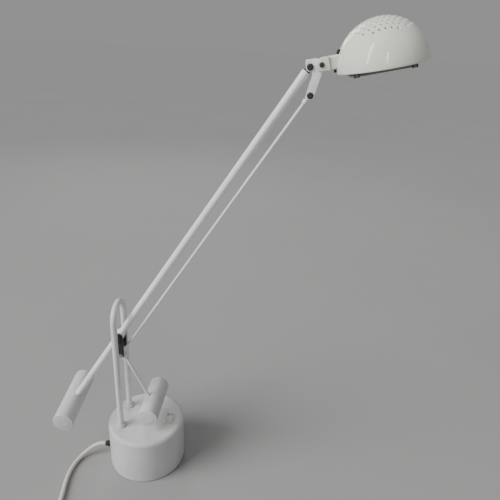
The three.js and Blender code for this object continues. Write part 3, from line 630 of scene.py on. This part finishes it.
LEAD_ROUTE = [
    (-69.6, -7.3, 20.0), (-79.0, -8.8, 19.4), (-88.0, -11.6, 15.8), (-96.5, -16.0, 10.4),
    (-103.5, -22.5, 5.9), (-108.5, -32.0, 3.8), (-111.4, -45.0, 3.3), (-112.0, -60.0, 3.3),
    (-110.6, -75.0, 3.3), (-107.8, -90.0, 3.3), (-105.4, -104.0, 3.3), (-103.8, -118.0, 3.4),
    (-103.1, -131.0, 3.9), (-102.8, -142.4, 4.3),
]
TAIL_ROUTE = [
    (-50.0, -209.8, 16.5), (-42.0, -209.8, 16.7), (-35.0, -209.9, 15.5), (-28.5, -210.1, 12.8),
    (-22.0, -210.4, 9.8), (-15.5, -210.9, 7.6), (-9.0, -211.3, 6.7), (-4.7, -211.4, 6.6),
]
PLUG_START = Vector((-7.7, -211.4, 6.6))
COIL_TURNS = [(44.2, 4.6), (37.8, 4.6), (31.4, 4.6), (25.0, 4.6), (28.2, 10.1), (34.6, 10.1),
              (41.0, 10.1), (37.8, 15.6)]
COIL_SWEEP = 7.25  # turns, from the left side round to the near side


def coil_points():
    """Anticlockwise from above: four turns from the outside in, then three out on top."""
    points = []
    count = int(COIL_SWEEP * 28)
    for k in range(count + 1):
        travelled = COIL_SWEEP * k / count
        lap = min(int(travelled), len(COIL_TURNS) - 1)
        part = travelled - lap
        radius, height = COIL_TURNS[lap]
        if lap + 1 < len(COIL_TURNS):
            # each turn moves to the next one's place in its last quarter
            ease = max(0.0, (part - 0.72) / 0.28)
            ease = ease * ease * (3.0 - 2.0 * ease)
            radius += (COIL_TURNS[lap + 1][0] - radius) * ease
            height += (COIL_TURNS[lap + 1][1] - height) * ease
        angle = pi + travelled * 2.0 * pi
        points.append((COIL_CENTRE.x + radius * cos(angle), COIL_CENTRE.y + radius * sin(angle),
            height))
    return points


def through(points, spacing=3.0):
    """Points close together on a Catmull-Rom curve through the given ones."""
    points = [Vector(p) for p in points]
    ends = [points[0] * 2.0 - points[1]] + points + [points[-1] * 2.0 - points[-2]]
    made = []
    for a, b, c, d in zip(ends, ends[1:], ends[2:], ends[3:]):
        steps = max(1, round((c - b).length / spacing))
        for k in range(steps):
            t = k / steps
            made.append(0.5 * ((2.0 * b) + (c - a) * t + (2.0 * a - 5.0 * b + 4.0 * c - d) * t * t
                               + (3.0 * b - a - 3.0 * c + d) * t ** 3))
    made.append(points[-1])
    return made


def mains_cord():
    route = through(LEAD_ROUTE + coil_points() + TAIL_ROUTE)
    data = bpy.data.curves.new("cord", "CURVE")
    data.dimensions = "3D"
    data.bevel_depth = CORD_DIAMETER / 2.0 * MM
    data.bevel_resolution = 6
    data.use_fill_caps = True
    spline = data.splines.new("POLY")
    spline.points.add(len(route) - 1)
    for point, at in zip(spline.points, route):
        point.co = (*(at * MM), 1.0)
    spline.use_smooth = True
    cord = linked("cord", data)
    data.materials.append(MATERIALS["cord_sheath"])
    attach(cord, "base")
    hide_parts("mains_cord", "cord_coil", "mains_cord_tail")
    return cord, tuple(route[0] * MM)


def cord_gland():
    """A tapered strain relief with ribs, its flange behind the housing's wall."""
    points = [(0.0, 46.0), (6.0, 46.0, 0.5), (6.0, 54.2), (7.4, 54.2, 0.3), (7.4, 56.2, 0.3),
        (6.0, 56.2), (6.0, 60.4), (6.9, 60.4, 0.4), (6.9, 61.9, 0.7), (5.2, 62.1)]
    for k in range(4):
        radius = 5.15 - 0.34 * k
        start = 62.6 + 1.75 * k
        points += [(radius - 0.55, start, 0.2), (radius, start + 0.3, 0.2),
            (radius - 0.05, start + 1.2, 0.2), (radius - 0.6, start + 1.5, 0.2)]
    points += [(3.5, 69.5, 0.3), (3.22, 69.5), (3.22, 67.0), (0.0, 67.0)]
    bm = lathe_along((0.0, 0.0, GLAND_HEIGHT), GLAND_DIRECTION, rounded(points, steps=3), 48)
    return piece("gland", bm, "base", "black_plastic", "cord_gland")


def hull(circles, grow, count=28):
    """Counter-clockwise convex outline round circles (x, y, radius), grown by grow."""
    points = []
    for x, y, radius in circles:
        points += arc(x, y, radius + grow, 0.0, 360.0 - 360.0 / count, count - 1)
    points = sorted(set((round(x, 4), round(y, 4)) for x, y in points))

    def half(ordered):
        chain = []
        for p in ordered:
            while len(chain) > 1:
                (ax, ay), (bx, by) = chain[-2:]
                if (bx - ax) * (p[1] - ay) - (by - ay) * (p[0] - ax) > 1e-7:
                    break
                chain.pop()
            chain.append(p)
        return chain

    return half(points)[:-1] + half(points[::-1])[:-1]


def cable_tie():
    """A nylon band round the coil's turns, with its ratchet head and cut tail on top."""
    half = CORD_DIAMETER / 2.0
    circles = [(25.0, 4.6, half), (44.2, 4.6, half), (28.2, 10.1, half), (41.0, 10.1, half)]
    outer = sideways(hull(circles, 1.35), -2.3, 2.3, 0.35, 3)
    inner = sideways(hull(circles, 0.25), -4.0, 4.0, 0.0, 1)
    head = block(31.2, 36.6, -3.0, 3.0, 13.9, 17.4, 0.5, 1.0)
    tail = block(29.0, 32.0, -2.0, 2.0, 15.2, 16.2, 0.2, 0.4)
    place = Matrix.Translation(COIL_CENTRE) @ Matrix.Rotation(COIL_ANGLE, 4, "Z")
    pawl = cutter_block(30.2, 32.6, -1.2, 1.2, 17.0, 19.0)
    return piece("cord_tie_band", outer, "base", "black_plastic", "cord_tie", place,
        unions=[head, tail], cuts=[inner, pawl])


def mains_plug():
    """Flat two-pin plug: soft-edged body, side grips, ribbed relief and part-sleeved pins."""
    place = Matrix.Translation(PLUG_START)
    outline = mirrored([(17.0, -5.4, 2.2), (20.5, -6.4, 3.0), (26.5, -12.5, 4.0),
        (43.0, -12.5, 2.3), (45.0, -9.6, 4.0)])
    body = slab(rounded(outline, closed=True), -6.5, 6.5, 1.7, 6)
    grips = [cutter_block(28.0 + 2.6 * k, 29.2 + 2.6 * k, side * 12.6 - 0.7, side * 12.6 + 0.7,
        -7.0, 7.0) for k in range(5) for side in (-1.0, 1.0)]
    panel = slab(rounded_box(25.5, 41.0, -8.5, 8.5, 2.0), 6.1, 7.5, 0.0, 1)
    sockets = [plain_bar(2.35, (43.6, y, 0.0), (47.0, y, 0.0)) for y in PLUG_PINS]
    made = piece("plug_body", body, "base", "cord_sheath", "mains_plug", place,
        cuts=[joined(*grips), panel, joined(*sockets)], bevel=0.18, segments=2)
    points = [(0.0, 0.0), (3.3, 0.0), (3.9, 0.0, 0.3)]
    for k in range(5):
        radius = 4.15 + 0.26 * k
        start = 0.8 + 3.4 * k
        points += [(radius, start, 0.3), (radius + 0.18, start + 2.2, 0.3),
            (radius - 0.65, start + 2.5, 0.2), (radius - 0.6, start + 3.0, 0.2)]
    points += [(5.3, 18.4, 0.4), (5.4, 20.5), (0.0, 20.5)]
    piece("plug_relief", lathe_forward(rounded(points, steps=3), 48), "base", "cord_sheath", None,
        place)
    for index, y in enumerate(PLUG_PINS, 1):
        pin = rounded([(0.0, 40.6), (2.0, 40.6), (2.0, 63.0, 1.0), (1.3, 64.0, 0.5), (0.0, 64.0)],
            steps=5)
        piece(f"plug_prong_{index}", lathe_forward(pin, 40, y=y), "base", "pin_brass",
            f"plug_pin_{index}", place)
        sleeve = rounded([(2.02, 43.4), (2.2, 43.4, 0.1), (2.2, 53.6, 0.15), (2.02, 53.8)],
            steps=2)
        piece(f"plug_sleeve_{index}", lathe_forward(sleeve, 40, True, y), "base", "black_plastic",
            None, place)
    return made


cord, cord_exit = mains_cord()
gland = cord_gland()
tie = cable_tie()
plug = mains_plug()


# ---- base

def base_housing():
    inner = BASE_RADIUS - BASE_WALL
    ceiling = BASE_HEIGHT - BASE_WALL
    profile = [(0.0, ceiling)]
    profile += arc(inner - 4.0, ceiling - 4.0, 4.0, 90.0, 0.0, 6)
    profile += [(inner, 1.3), (inner + 0.3, 1.0), (BASE_RADIUS - 0.8, 1.0)]
    profile += arc(BASE_RADIUS - 0.8, 1.8, 0.8, -60.0, 0.0, 3)
    profile += arc(BASE_RADIUS - BASE_EDGE, BASE_HEIGHT - BASE_EDGE, BASE_EDGE, 0.0, 90.0, 16)
    profile += [(30.0, BASE_HEIGHT), (0.0, BASE_HEIGHT)]
    x, y, _ = SWITCH_CENTRE
    height = Vector((0.0, 0.0, GLAND_HEIGHT))
    cuts = [cutter_block(x - 6.8, x + 6.8, y - 9.8, y + 9.8, 70.0, 82.0),
        plain_bar(6.4, GLAND_DIRECTION * 50.0 + height, GLAND_DIRECTION * 66.0 + height, 48, 0.1)]
    cuts += [plain_bar(5.1, (HOOP_X, y, 70.0), (HOOP_X, y, 82.0), 48, 0.1)
        for y in (-HOOP_HALF_WIDTH, HOOP_HALF_WIDTH)]
    piece("housing_shell", lathe(profile, 192), "base", "housing_paint", "base_housing", cuts=cuts)


def base_pad():
    profile = rounded([(0.0, 0.0), (56.6, 0.0, 0.7), (56.6, 2.0, 0.4), (0.0, 2.0)])
    holes = [plain_bar(3.8, (x, y, -1.0), (x, y, 4.0), 32, 0.1) for x, y in arc(0.0, 0.0, 52.0,
        90.0, 330.0, 2)]
    piece("base_foot_pad", lathe(profile, 160), "base", "rubber", "base_pad", cuts=holes)


def hoop():
    springing = HOOP_TOP - HOOP_HALF_WIDTH
    leg = [(-HOOP_HALF_WIDTH, HOOP_FOOT + (springing - HOOP_FOOT) * k / 24) for k in range(24)]
    path = leg + arc(0.0, springing, HOOP_HALF_WIDTH, 180.0, 0.0, 40)
    path += [(-y, z) for y, z in leg[::-1]]
    # the hoop wears the lighter copy of the housing paint, a painted highlight
    piece("hoop_bent_tube", swept([(HOOP_X, y, z) for y, z in path], TUBE_RADIUS, 40), "base",
        "housing_paint", "hoop_tube", material=HOOP_PAINT_LIT_COPY)
    for name, side in SIDES:
        place = shifted(ROW, HOOP_X, side * HOOP_HALF_WIDTH)
        profile = rounded([(4.75, 78.3), (7.7, 78.3, 0.3), (7.7, 80.0, 0.5), (6.9, 80.6, 0.5),
            (6.5, 82.5, 0.7), (4.75, 82.5, 0.2)], closed=True, steps=5)
        piece(f"foot_collar_{name}", lathe(profile, 64, True), "base", "housing_paint",
            f"hoop_collar_{name}", place)


def axle_parts():
    reach = HOOP_HALF_WIDTH - TUBE_RADIUS - 0.3
    piece("axle_pin", lathe_across(bar_profile(2.5, -reach, reach, 0.4), sides=48), "base",
        "steel", "hub_axle", LEVER)
    for name, side in SIDES:
        low, high = sorted((side * 9.75, side * 17.6))
        middle = (low + high) / 2.0
        profile = rounded([(2.8, low, 0.2), (5.0, low, 0.6), (5.0, middle - 0.7, 0.2),
            (4.5, middle - 0.4, 0.2), (4.5, middle + 0.4, 0.2), (5.0, middle + 0.7, 0.2),
            (5.0, high, 0.6), (2.8, high, 0.2)], closed=True, steps=3)
        piece(f"axle_sleeve_{name}", lathe_across(profile, sides=56, closed=True), "base",
            "black_plastic", f"axle_spacer_{name}", LEVER)


def rocker_switch():
    x, y, _ = SWITCH_CENTRE
    bezel = slab(rounded_box(x - 7.5, x + 7.5, y - 10.5, y + 10.5, 1.2), BASE_HEIGHT + 0.1,
        BASE_HEIGHT + 1.9, 0.6, 5)
    body = cutter_block(x - 6.5, x + 6.5, y - 9.5, y + 9.5, 58.0, BASE_HEIGHT + 1.0)
    well = cutter_block(x - 5.5, x + 5.9, y - 8.5, y + 8.5, 68.0, 84.0)
    piece("switch_bezel", bezel, "base", "switch_plastic", "switch_body", unions=[body],
        cuts=[well])
    outline = rounded([(-7.2, -3.0), (7.2, -3.0), (7.5, 4.5, 0.8), (4.0, 5.0, 3.0),
        (0.0, 5.8, 5.0), (-4.0, 5.0, 3.0), (-7.5, 4.5, 0.8)], closed=True, steps=5)
    place = shifted(ROW, x, y, ROCKER_PIVOT_HEIGHT) @ Matrix.Rotation(ROCKER_REST, 4, "X")
    ribs = [lengthways(rounded_box(y - 0.25, y + 0.25, 4.4, 6.2, 0.0), -3.4, 3.4, 0.1, 1)
        for y in (-5.4, -4.32, 4.32, 5.4)]
    piece("switch_paddle", lengthways(outline, -5.1, 5.1), "rocker", "switch_plastic",
        "switch_rocker", place, cuts=ribs)


base_housing()
base_pad()
hoop()
axle_parts()
rocker_switch()


# ---- lever and its counterweight

ROD_DIRECTION = Vector((cos(LEVER_ROD_ANGLE), 0.0, sin(LEVER_ROD_ANGLE)))


def on_rod(distance):
    return LINK_OFFSET + ROD_DIRECTION * distance


def counterweight(name, node, body, length, shift, place, toward, socket, depth):
    """A solid bar across the lamp with a rounded rim, faint lathe ring and a rod socket."""
    low, high = shift - length / 2.0, shift + length / 2.0
    rim = 1.3
    end = [(0.0, 0.0), (6.0, 0.0), (12.9, 0.0), (13.1, 0.12), (13.4, 0.12), (13.6, 0.0)]
    end += arc(WEIGHT_RADIUS - rim, rim, rim, -90.0, 0.0, 7)
    profile = [(r, low + d) for r, d in end] + [(r, high - d) for r, d in end[::-1]]
    hole = plain_bar(socket, toward * (WEIGHT_RADIUS - depth), toward * 30.0, 48, 0.1)
    piece(name, lathe_across(profile, sides=120), body, "weight_paint", node, place, cuts=[hole])


def lever_parts():
    link = (LINK_OFFSET.x, LINK_OFFSET.z)
    outline = hull([(0.0, 0.0, 7.0), (*link, 4.4)], 0.0, 56)
    front = sideways(outline, -LEVER_OUTER, -LEVER_INNER, 0.7, 5)
    rear = sideways(outline, LEVER_INNER, LEVER_OUTER, 0.7, 5)
    reach = LEVER_OUTER - 0.5
    bridge = lathe_across(bar_profile(2.0, -reach, reach), link[0] / 2.0, link[1] / 2.0, 40)
    faces = (-LEVER_OUTER - 0.3, LEVER_OUTER - 0.4)
    recess = [lathe_across(bar_profile(5.4, y, y + 0.7), sides=56) for y in faces]
    groove = hull([(0.8, -9.2, 2.2), (2.1, -22.4, 1.7)], 0.0, 28)
    grooves = [sideways(groove, y, y + 0.7, 0.0, 1) for y in faces]
    piece("pivot_casting", front, "lever", "black_plastic", "pivot_lever", LEVER,
        unions=[rear, bridge], cuts=[joined(*recess), joined(*grooves)])
    head, seat = LEVER_OUTER + 1.4, LEVER_OUTER + 0.3
    pin = mirrored([(0.0, -head), (2.2, -head), (3.0, -head + 0.4, 0.3), (3.0, -seat, 0.2),
        (2.0, -seat)])
    piece("link_pin", lathe_across(rounded(pin, steps=3), *link, 48), "lever", "steel",
        "link_pin_lower", LEVER)
    crown = on_rod(8.0)
    prong = hull([(*link, 3.7), (crown.x, crown.z, 3.0)], 0.0, 40)
    outer = LEVER_INNER - 0.3
    rod = plain_bar(2.5, crown, on_rod(LEVER_ROD_REACH - 8.0), 40)
    cross = lathe_across(bar_profile(3.0, -outer, outer, 0.4, 3), crown.x, crown.z, 48)
    bore = lathe_across(bar_profile(PIN_BORE, -9.0, 9.0), *link, 40)
    piece("lever_weight_rod", sideways(prong, -outer, -3.5, 0.35, 3), "lever", "arm_paint",
        "lever_rod", LEVER, unions=[sideways(prong, 3.5, outer, 0.35, 3), cross, rod], cuts=[bore])
    place = LEVER @ Matrix.Translation(on_rod(LEVER_ROD_REACH))
    counterweight("lever_weight", "lever_counterweight", "lever", 80.0, 4.0, place, -ROD_DIRECTION,
        2.75, 8.2)


lever_parts()


# ---- arm and its counterweight

def arm_parts():
    start, end = -ARM_TAIL + 8.0, ARM_REACH - 6.4
    bore = ARM_RADIUS - 0.9
    wall = rounded([(bore, start), (ARM_RADIUS, start), (ARM_RADIUS, end, 0.25), (bore, end, 0.2)],
        closed=True, steps=3)
    stations = [start + (end - start) * k / 30 for k in range(1, 30)]
    profile = wall[:2] + [(ARM_RADIUS, s) for s in stations] + wall[2:]
    piece("arm_long_tube", lathe_forward(profile, 48, True), "arm", "arm_paint", "arm_tube", ARM)
    hub = ring_profile(2.75, 7.5, -6.3, 6.3, 0.8, 0.2, 5)
    piece("arm_hub_sleeve", lathe_across(hub, sides=72, closed=True), "arm", "arm_paint",
        "arm_hub", ARM)
    toward = Vector((1.0, 0.0, 0.0))
    counterweight("arm_weight", "arm_counterweight", "arm", 104.0, 0.0,
        shifted(ARM, -ARM_TAIL) @ Matrix.Rotation(ARM_WEIGHT_TWIST, 4, "X"), toward,
        ARM_RADIUS + 0.25, 8.0)
    boss = lathe_across(ring_profile(PIN_BORE, 5.4, -4.6, 4.6, 0.5, steps=4), sides=56, closed=True)
    spigot = plain_bar(3.9, (-20.0, 0.0, 0.0), (-3.0, 0.0, 0.0), 40)
    piece("arm_tip_fitting", boss, "arm", "black_plastic", "arm_end", shifted(ARM, ARM_REACH),
        unions=[spigot])


def link_parts():
    piece("link_long_rod", plain_bar(2.0, (12.7, 0.0, 0.0), (ARM_REACH - 12.7, 0.0, 0.0), 32),
        "link", "arm_paint", "link_rod", LINK)
    neck = [(0.0, 2.0), (3.0, 2.0), (3.2, 3.6), (3.2, 5.2, 0.2), (1.5, 5.5, 0.2), (1.5, 6.6, 0.2),
        (3.2, 6.9, 0.2), (3.2, 10.0, 0.4), (2.5, 11.5, 0.5), (2.3, 12.5, 0.2), (0.0, 12.5)]
    for name, at, toward in (("lower", 0.0, 1.0), ("upper", ARM_REACH, -1.0)):
        eye = lathe_across(ring_profile(PIN_BORE, 4.1, -3.0, 3.0, 0.6, steps=4), sides=56,
            closed=True)
        tail = lathe_forward(rounded(neck, steps=4), 40, toward=toward)
        bore = plain_bar(PIN_BORE, (0.0, -9.0, 0.0), (0.0, 9.0, 0.0), 40, 0.1)
        piece(f"link_ferrule_{name}", eye, "link", "arm_paint", f"link_eye_{name}",
            shifted(LINK, at), unions=[tail], cuts=[bore])


arm_parts()
link_parts()


# ---- head bracket and knuckle

def bracket_outline():
    points = arc(0.0, 0.0, 5.1, 180.0, 300.0, 14) + [(3.4, -8.5)]
    points += arc(LINK_OFFSET.x, LINK_OFFSET.z, 4.9, 168.0, 345.0, 18) + [(14.4, -5.2)]
    points += arc(TILT_PIVOT.x, TILT_PIVOT.z, 5.5, -50.0, 110.0, 18) + [(7.0, 9.3)]
    points += arc(-3.1, 5.4, 2.0, 80.0, 180.0, 8)
    return points


def rivet(name, node, body, place, radius, inner, outer, x=0.0, z=0.0):
    """A shank and two domed caps, each with a shallow moulded dimple."""
    dome = ((0.93, 0.68), (0.80, 0.86), (0.60, 0.97), (0.40, 1.0))
    profile = [(0.0, inner - 1.0), (2.0, inner - 1.0), (2.0, inner), (radius, inner, 0.25),
        (radius, inner + 0.45 * (outer - inner), 0.3)]
    profile += [(radius * wide, inner + (outer - inner) * high) for wide, high in dome]
    profile += [(radius * 0.30, outer - 0.10), (radius * 0.18, outer - 0.20), (0.0, outer - 0.22)]
    profile = rounded(profile, steps=3)
    caps = [lathe_along((x, 0.0, z), (0.0, side, 0.0), profile, 56) for side in (1.0, -1.0)]
    shank = lathe_across(bar_profile(2.0, 0.5 - inner, inner - 0.5), x, z, 32)
    piece(name, joined(*caps, shank), body, "black_plastic", node, place)


def bracket_parts():
    for name, low, high in (("front", -7.0, -5.0), ("rear", 5.0, 7.0)):
        piece(f"bracket_cheek_{name}", sideways(bracket_outline(), low, high, 0.35, 4), "bracket",
            "arm_paint", f"bracket_plate_{name}", BRACKET)
    spacer = rounded([(4.6, -11.0, 0.5), (3.2, -21.0, 0.5), (9.2, -21.0, 0.5), (11.6, -11.0, 0.5)],
        closed=True)
    piece("bracket_web", sideways(spacer, -4.7, 4.7, 0.2, 2), "bracket", "arm_paint",
        "bracket_spacer", BRACKET)
    rivet("arm_rivet", "arm_pivot_rivet", "bracket", BRACKET, 3.9, 7.05, 9.3)
    rivet("link_rivet", "link_rivet_upper", "bracket", BRACKET, 3.8, 7.05, 9.3, LINK_OFFSET.x,
        LINK_OFFSET.z)
    bush = ring_profile(PIN_BORE, 4.8, -4.7, 4.7, 0.3)
    piece("tilt_bushing", lathe_across(bush, TILT_PIVOT.x, TILT_PIVOT.z, 48, True), "bracket",
        "black_plastic", "tilt_bush", BRACKET)


def knuckle_parts():
    outline = rounded([(9.0, -7.6, 0.6), (9.0, 7.6, 0.6), (0.8, 7.3, 2.2)]
        + arc(0.0, 0.0, 7.1, 146.0, 280.0, 26), closed=True, steps=5)
    fork = cutter_block(-20.0, 6.1, -7.3, 7.3, -12.0, 12.0)
    relief = sideways([(5.0, -5.0), (5.0, -9.4), (7.8, -9.4), (6.1, -5.0)], -7.3, 7.3, 0.0, 1)
    stud_hole = plain_bar(2.8, (4.0, 0.0, 0.0), (12.0, 0.0, 0.0), 40, 0.1)
    piece("knuckle_fork", sideways(outline, -10.0, 10.0, 0.9, 5), "knuckle", "shade_paint",
        "tilt_knuckle", HEAD, cuts=[fork, relief, stud_hole])
    rivet("tilt_rivet_caps", "tilt_rivet", "knuckle", HEAD, 3.0, 10.05, 12.0)


bracket_parts()
knuckle_parts()


# ---- head

def stub_outline(grow):
    y, z = 7.5 + grow, STUB_HEIGHT / 2.0 + grow
    return rounded_box(-y, y, -z, z, 2.5)


def vent_places():
    """A staggered field of vents over the crown, as (x, y) in the dish's plane."""
    pitch, row, field_radius = 6.5, 5.63, 37.2
    grid = [(pitch * (i + 0.5 * (j % 2)), row * j) for j in range(-7, 8) for i in range(-7, 8)]
    return [(x, y) for x, y in grid if hypot(x, y) < field_radius]


def vent_frame(x, y):
    """A frame on the dome at a vent, with Z out of the surface."""
    up = Vector((x, y, sqrt(SHADE_RADIUS ** 2 - x * x - y * y))) / SHADE_RADIUS
    return turn_to(up * SHADE_RADIUS, up)


def vent_funnel(x, y):
    """A round dimple pressed into the dome, with a hole through its floor."""
    profile = [(2.32, -0.40), (2.32, -0.08), (2.22, -0.02), (2.08, -0.04), (1.90, -0.14),
        (1.64, -0.38), (1.38, -0.74), (1.18, -1.12), (1.06, -1.45), (1.02, -1.70), (1.20, -1.78),
        (1.55, -1.62), (2.0, -1.20), (2.32, -0.86)]
    return moved(lathe(profile, 24, True), vent_frame(x, y))


def shade():
    inner = SHADE_RADIUS - SHADE_WALL
    profile = [(0.0, inner)]
    profile += arc(0.0, 0.0, inner, 87.0, 2.0, 40)
    profile += [(inner, 0.9), (inner - 0.3, 0.5)]
    profile += arc(SHADE_RADIUS - 0.95, 0.55, 0.9, 215.0, 350.0, 8)
    profile += arc(0.0, 0.0, SHADE_RADIUS, 1.6, 88.0, 52)
    profile += [(0.0, SHADE_RADIUS)]
    places = vent_places()
    back = Matrix.Translation(-SHADE_CENTRE)
    opening = moved(lengthways(stub_outline(0.3), 10.0, 32.0, 0.0, 1), back)
    slots = joined(*[moved(lathe(bar_profile(2.25, -3.4, 1.4), 24), vent_frame(x, y))
        for x, y in places])
    piece("shade_dome", lathe(profile, 160), "head", "shade_paint", "shade_shell", DISH,
        cuts=[opening, slots], sharp=radians(28.0))
    piece("shade_vent_dimples", joined(*[vent_funnel(x, y) for x, y in places]), "head",
        "shade_paint", None, DISH, sharp=radians(50.0))


def dome_tabs():
    """Rubber tabs that lie on the dome above and below the neck."""
    edge = STUB_HEIGHT / 2.0 + 0.35
    for name, low, high in (("upper", edge, edge + 4.35), ("lower", -edge - 3.15, -edge)):
        pad = lengthways(rounded_box(-5.4, 5.4, low, high, 0.9, 5), 6.0, 30.0, 0.0, 1)
        shell = [(0.0, SHADE_RADIUS + 0.55)] + arc(0.0, 0.0, SHADE_RADIUS + 0.55, 88.0, 0.0, 72)
        shell += arc(0.0, 0.0, SHADE_RADIUS + 2.2, 0.0, 88.0, 72) + [(0.0, SHADE_RADIUS + 2.2)]
        piece(f"dome_tab_{name}", lathe(shell, 128), "head", "rubber", f"shade_tab_{name}", DISH,
            keeps=[moved(pad, Matrix.Translation(-SHADE_CENTRE))], bevel=0.35)


def stub():
    hole = plain_bar(2.8, (5.0, 0.0, 0.0), (16.4, 0.0, 0.0), 40, 0.1)
    piece("shade_neck", lengthways(stub_outline(0.0), 9.3, 23.0), "head", "shade_paint",
        "shade_stub", HEAD, cuts=[hole])


def reflector_bowl():
    wall, rim, mouth, depth = 0.8, 1.8, 8.0, 28.0

    def bowl(radius, height, count=26):
        last = acos(mouth / radius)
        return [(radius * cos(last * k / count), rim + height * sin(last * k / count))
            for k in range(count + 1)]

    profile = bowl(40.0, depth) + bowl(40.0 - wall, depth - wall)[::-1]
    profile += [(39.2, 1.2), (39.6, 1.0), (45.6, 1.0), (46.0, 1.2), (46.0, 1.6), (45.6, 1.8)]
    piece("reflector_bowl", lathe(profile, 120, True), "head", "reflector_metal", "reflector",
        DISH)


def lamp_and_holder():
    profile = rounded([(0.0, 39.0), (6.5, 39.0, 0.6), (7.5, 38.2, 0.4), (7.5, 32.8, 0.5),
        (5.5, 32.8), (5.5, 22.4, 0.6), (0.0, 22.4)], steps=4)
    pits = [plain_bar(1.0, (x, 0.0, 21.0), (x, 0.0, 25.0), 24, 0.1) for x in (-3.4, 3.4)]
    piece("capsule_holder", lathe(profile, 56), "head", "terminal_ceramic", "lamp_holder", DISH,
        cuts=pits)
    outer = [(0.0, 4.6), (0.9, 4.62)] + arc(0.0, 8.6, 4.3, -62.0, 0.0, 10)
    outer += [(4.3, 15.8), (4.1, 17.0), (3.4, 18.4), (2.7, 19.3), (2.5, 20.0), (2.5, 22.1),
        (0.0, 22.1)]
    piece("capsule_glass", lathe(rounded(outer), 64), "head", "clear_glass", "halogen_bulb", DISH)
    turns = [(cos(k * 0.62), -2.4 + k * 0.048, 11.5 + sin(k * 0.62)) for k in range(101)]
    posts = [[(0.0, side * y, z) for y, z in ((2.4, 11.5), (2.2, 15.0), (1.6, 19.5))]
        for _, side in SIDES]
    wires = [swept(turns, 0.13, 8)] + [swept(through(post, 0.6), 0.2, 10) for post in posts]
    piece("capsule_filament", joined(*wires), "head", "steel", None, DISH, material=FILAMENT)


def glass_and_frame():
    """The cover pane with its ground edge, hung on bent-wire clips from a thin ring."""
    outline = rounded_box(PANE_SHIFT - 36.0, PANE_SHIFT + 36.0, -30.0, 30.0, 4.0, 8)
    pane = piece("cover_pane", slab(outline, -4.4, -1.6, 0.35, 3), "head", "cover_glass",
        "glass_cover", DISH)
    pane.data.materials.append(GLASS_EDGE)
    middle = DISH @ Vector((PANE_SHIFT, 0.0, -3.0))
    up = (DISH.to_3x3() @ Vector((0.0, 0.0, 1.0))).normalized()
    for face in pane.data.polygons:
        if abs(face.normal.dot(up)) < 0.9 and abs((face.center / MM - middle).dot(up)) < 1.39:
            face.material_index = 1
    band = ring_profile(41.0, 46.0, -0.2, 0.6, 0.3, 0.2, 3)
    leg = [(33.4, 0.2), (31.6, 0.2), (30.7, -0.8), (30.7, -4.4), (30.1, -5.0), (28.2, -5.0),
        (26.2, -5.0)]
    clips = []
    for near, far in ((-30.6, -35.6), (26.5, 31.5)):
        bend = copysign(0.5, far - near)
        low, high = sorted((near, far))
        path = [(near, *p) for p in leg] + [(near + bend, 25.5, -5.0), (far - bend, 25.5, -5.0)]
        path += [(far, *p) for p in leg[::-1]]
        for _, side in SIDES:
            clips.append(swept(through([(x, y * side, z) for x, y, z in path], 0.6), 0.48, 12))
            tab = slab(rounded([(low - 0.6, 31.0, 0.6), (high + 0.6, 31.0, 0.6),
                (high - 1.0, 33.8, 0.6), (low + 1.0, 33.8, 0.6)], closed=True), -0.2, 0.6, 0.15, 2)
            clips.append(moved(tab, Matrix.Diagonal((1.0, side, 1.0, 1.0))))
    frame_mesh = joined(lathe(band, 96, True), *clips)
    bmesh.ops.recalc_face_normals(frame_mesh, faces=frame_mesh.faces)
    piece("pane_frame", frame_mesh, "head", "black_plastic", "glass_frame", DISH)


shade()
dome_tabs()
stub()
reflector_bowl()
lamp_and_holder()
glass_and_frame()

# ---- carried-over CAD nodes

for entry in frame["record"]["subparts"]:
    held = frame["nodes"][entry["node"]]
    if held.hide_render:
        continue
    dress(held.data, MATERIALS[entry["material_slot"]], SHARP_ANGLE)


# ---- floor and light

def floor():
    """A plain pale sweep far wider than the lamp, with a faint mottled tone."""
    bm = bmesh.new()
    corners = [bm.verts.new((x, y, 0.0)) for x, y in ((-40, -40), (40, -40), (40, 40), (-40, 40))]
    bm.faces.new(corners)
    made = as_object(bm, "floor")
    s = Surface("floor", Roughness=0.85, Specular_IOR_Level=0.12)
    tone = s.remap(s.noise(2.0))
    s.feed(s.mix(tone, (0.3245, 0.320, 0.3175), (0.338, 0.3335, 0.331)),
        s.shader.inputs["Base Color"])
    made.data.materials.append(s.material)


def light(name, kind, power, direction):
    data = bpy.data.lights.new(name, kind)
    data.energy = power
    made = linked(name, data)
    made.rotation_mode = "QUATERNION"
    made.rotation_quaternion = Vector(direction).to_track_quat("-Z", "Y")
    return made


def lights():
    world = bpy.data.worlds.new("world")
    world.use_nodes = True
    background = world.node_tree.nodes["Background"]
    background.inputs["Color"].default_value = (0.552, 0.550, 0.552, 1.0)
    background.inputs["Strength"].default_value = 0.55
    bpy.context.scene.world = world
    sun = light("soft_sun", "SUN", 3.6, (0.84, 0.40, -0.58))
    sun.data.angle = radians(34.0)
    sun.visible_glossy = False  # the windows alone give the highlights
    middle, daylight = Vector((0.12, 0.0, 0.38)), (1.0, 0.995, 0.98)
    for name, at, size, power, colour in (
            ("window_left", (-0.95, -1.12, 1.42), (0.15, 1.5), 8.0, daylight),
            ("window_right", (0.25, -1.74, 1.28), (0.12, 0.8), 2.5, daylight),
            ("back", (-0.5, 1.7, 1.5), (0.7, 1.1), 7.0, (1.0, 1.0, 1.0))):
        window = light(name, "AREA", power, middle - Vector(at))
        window.location = at
        window.data.shape = "RECTANGLE"
        window.data.size, window.data.size_y = size
        window.data.color = colour


floor()
lights()
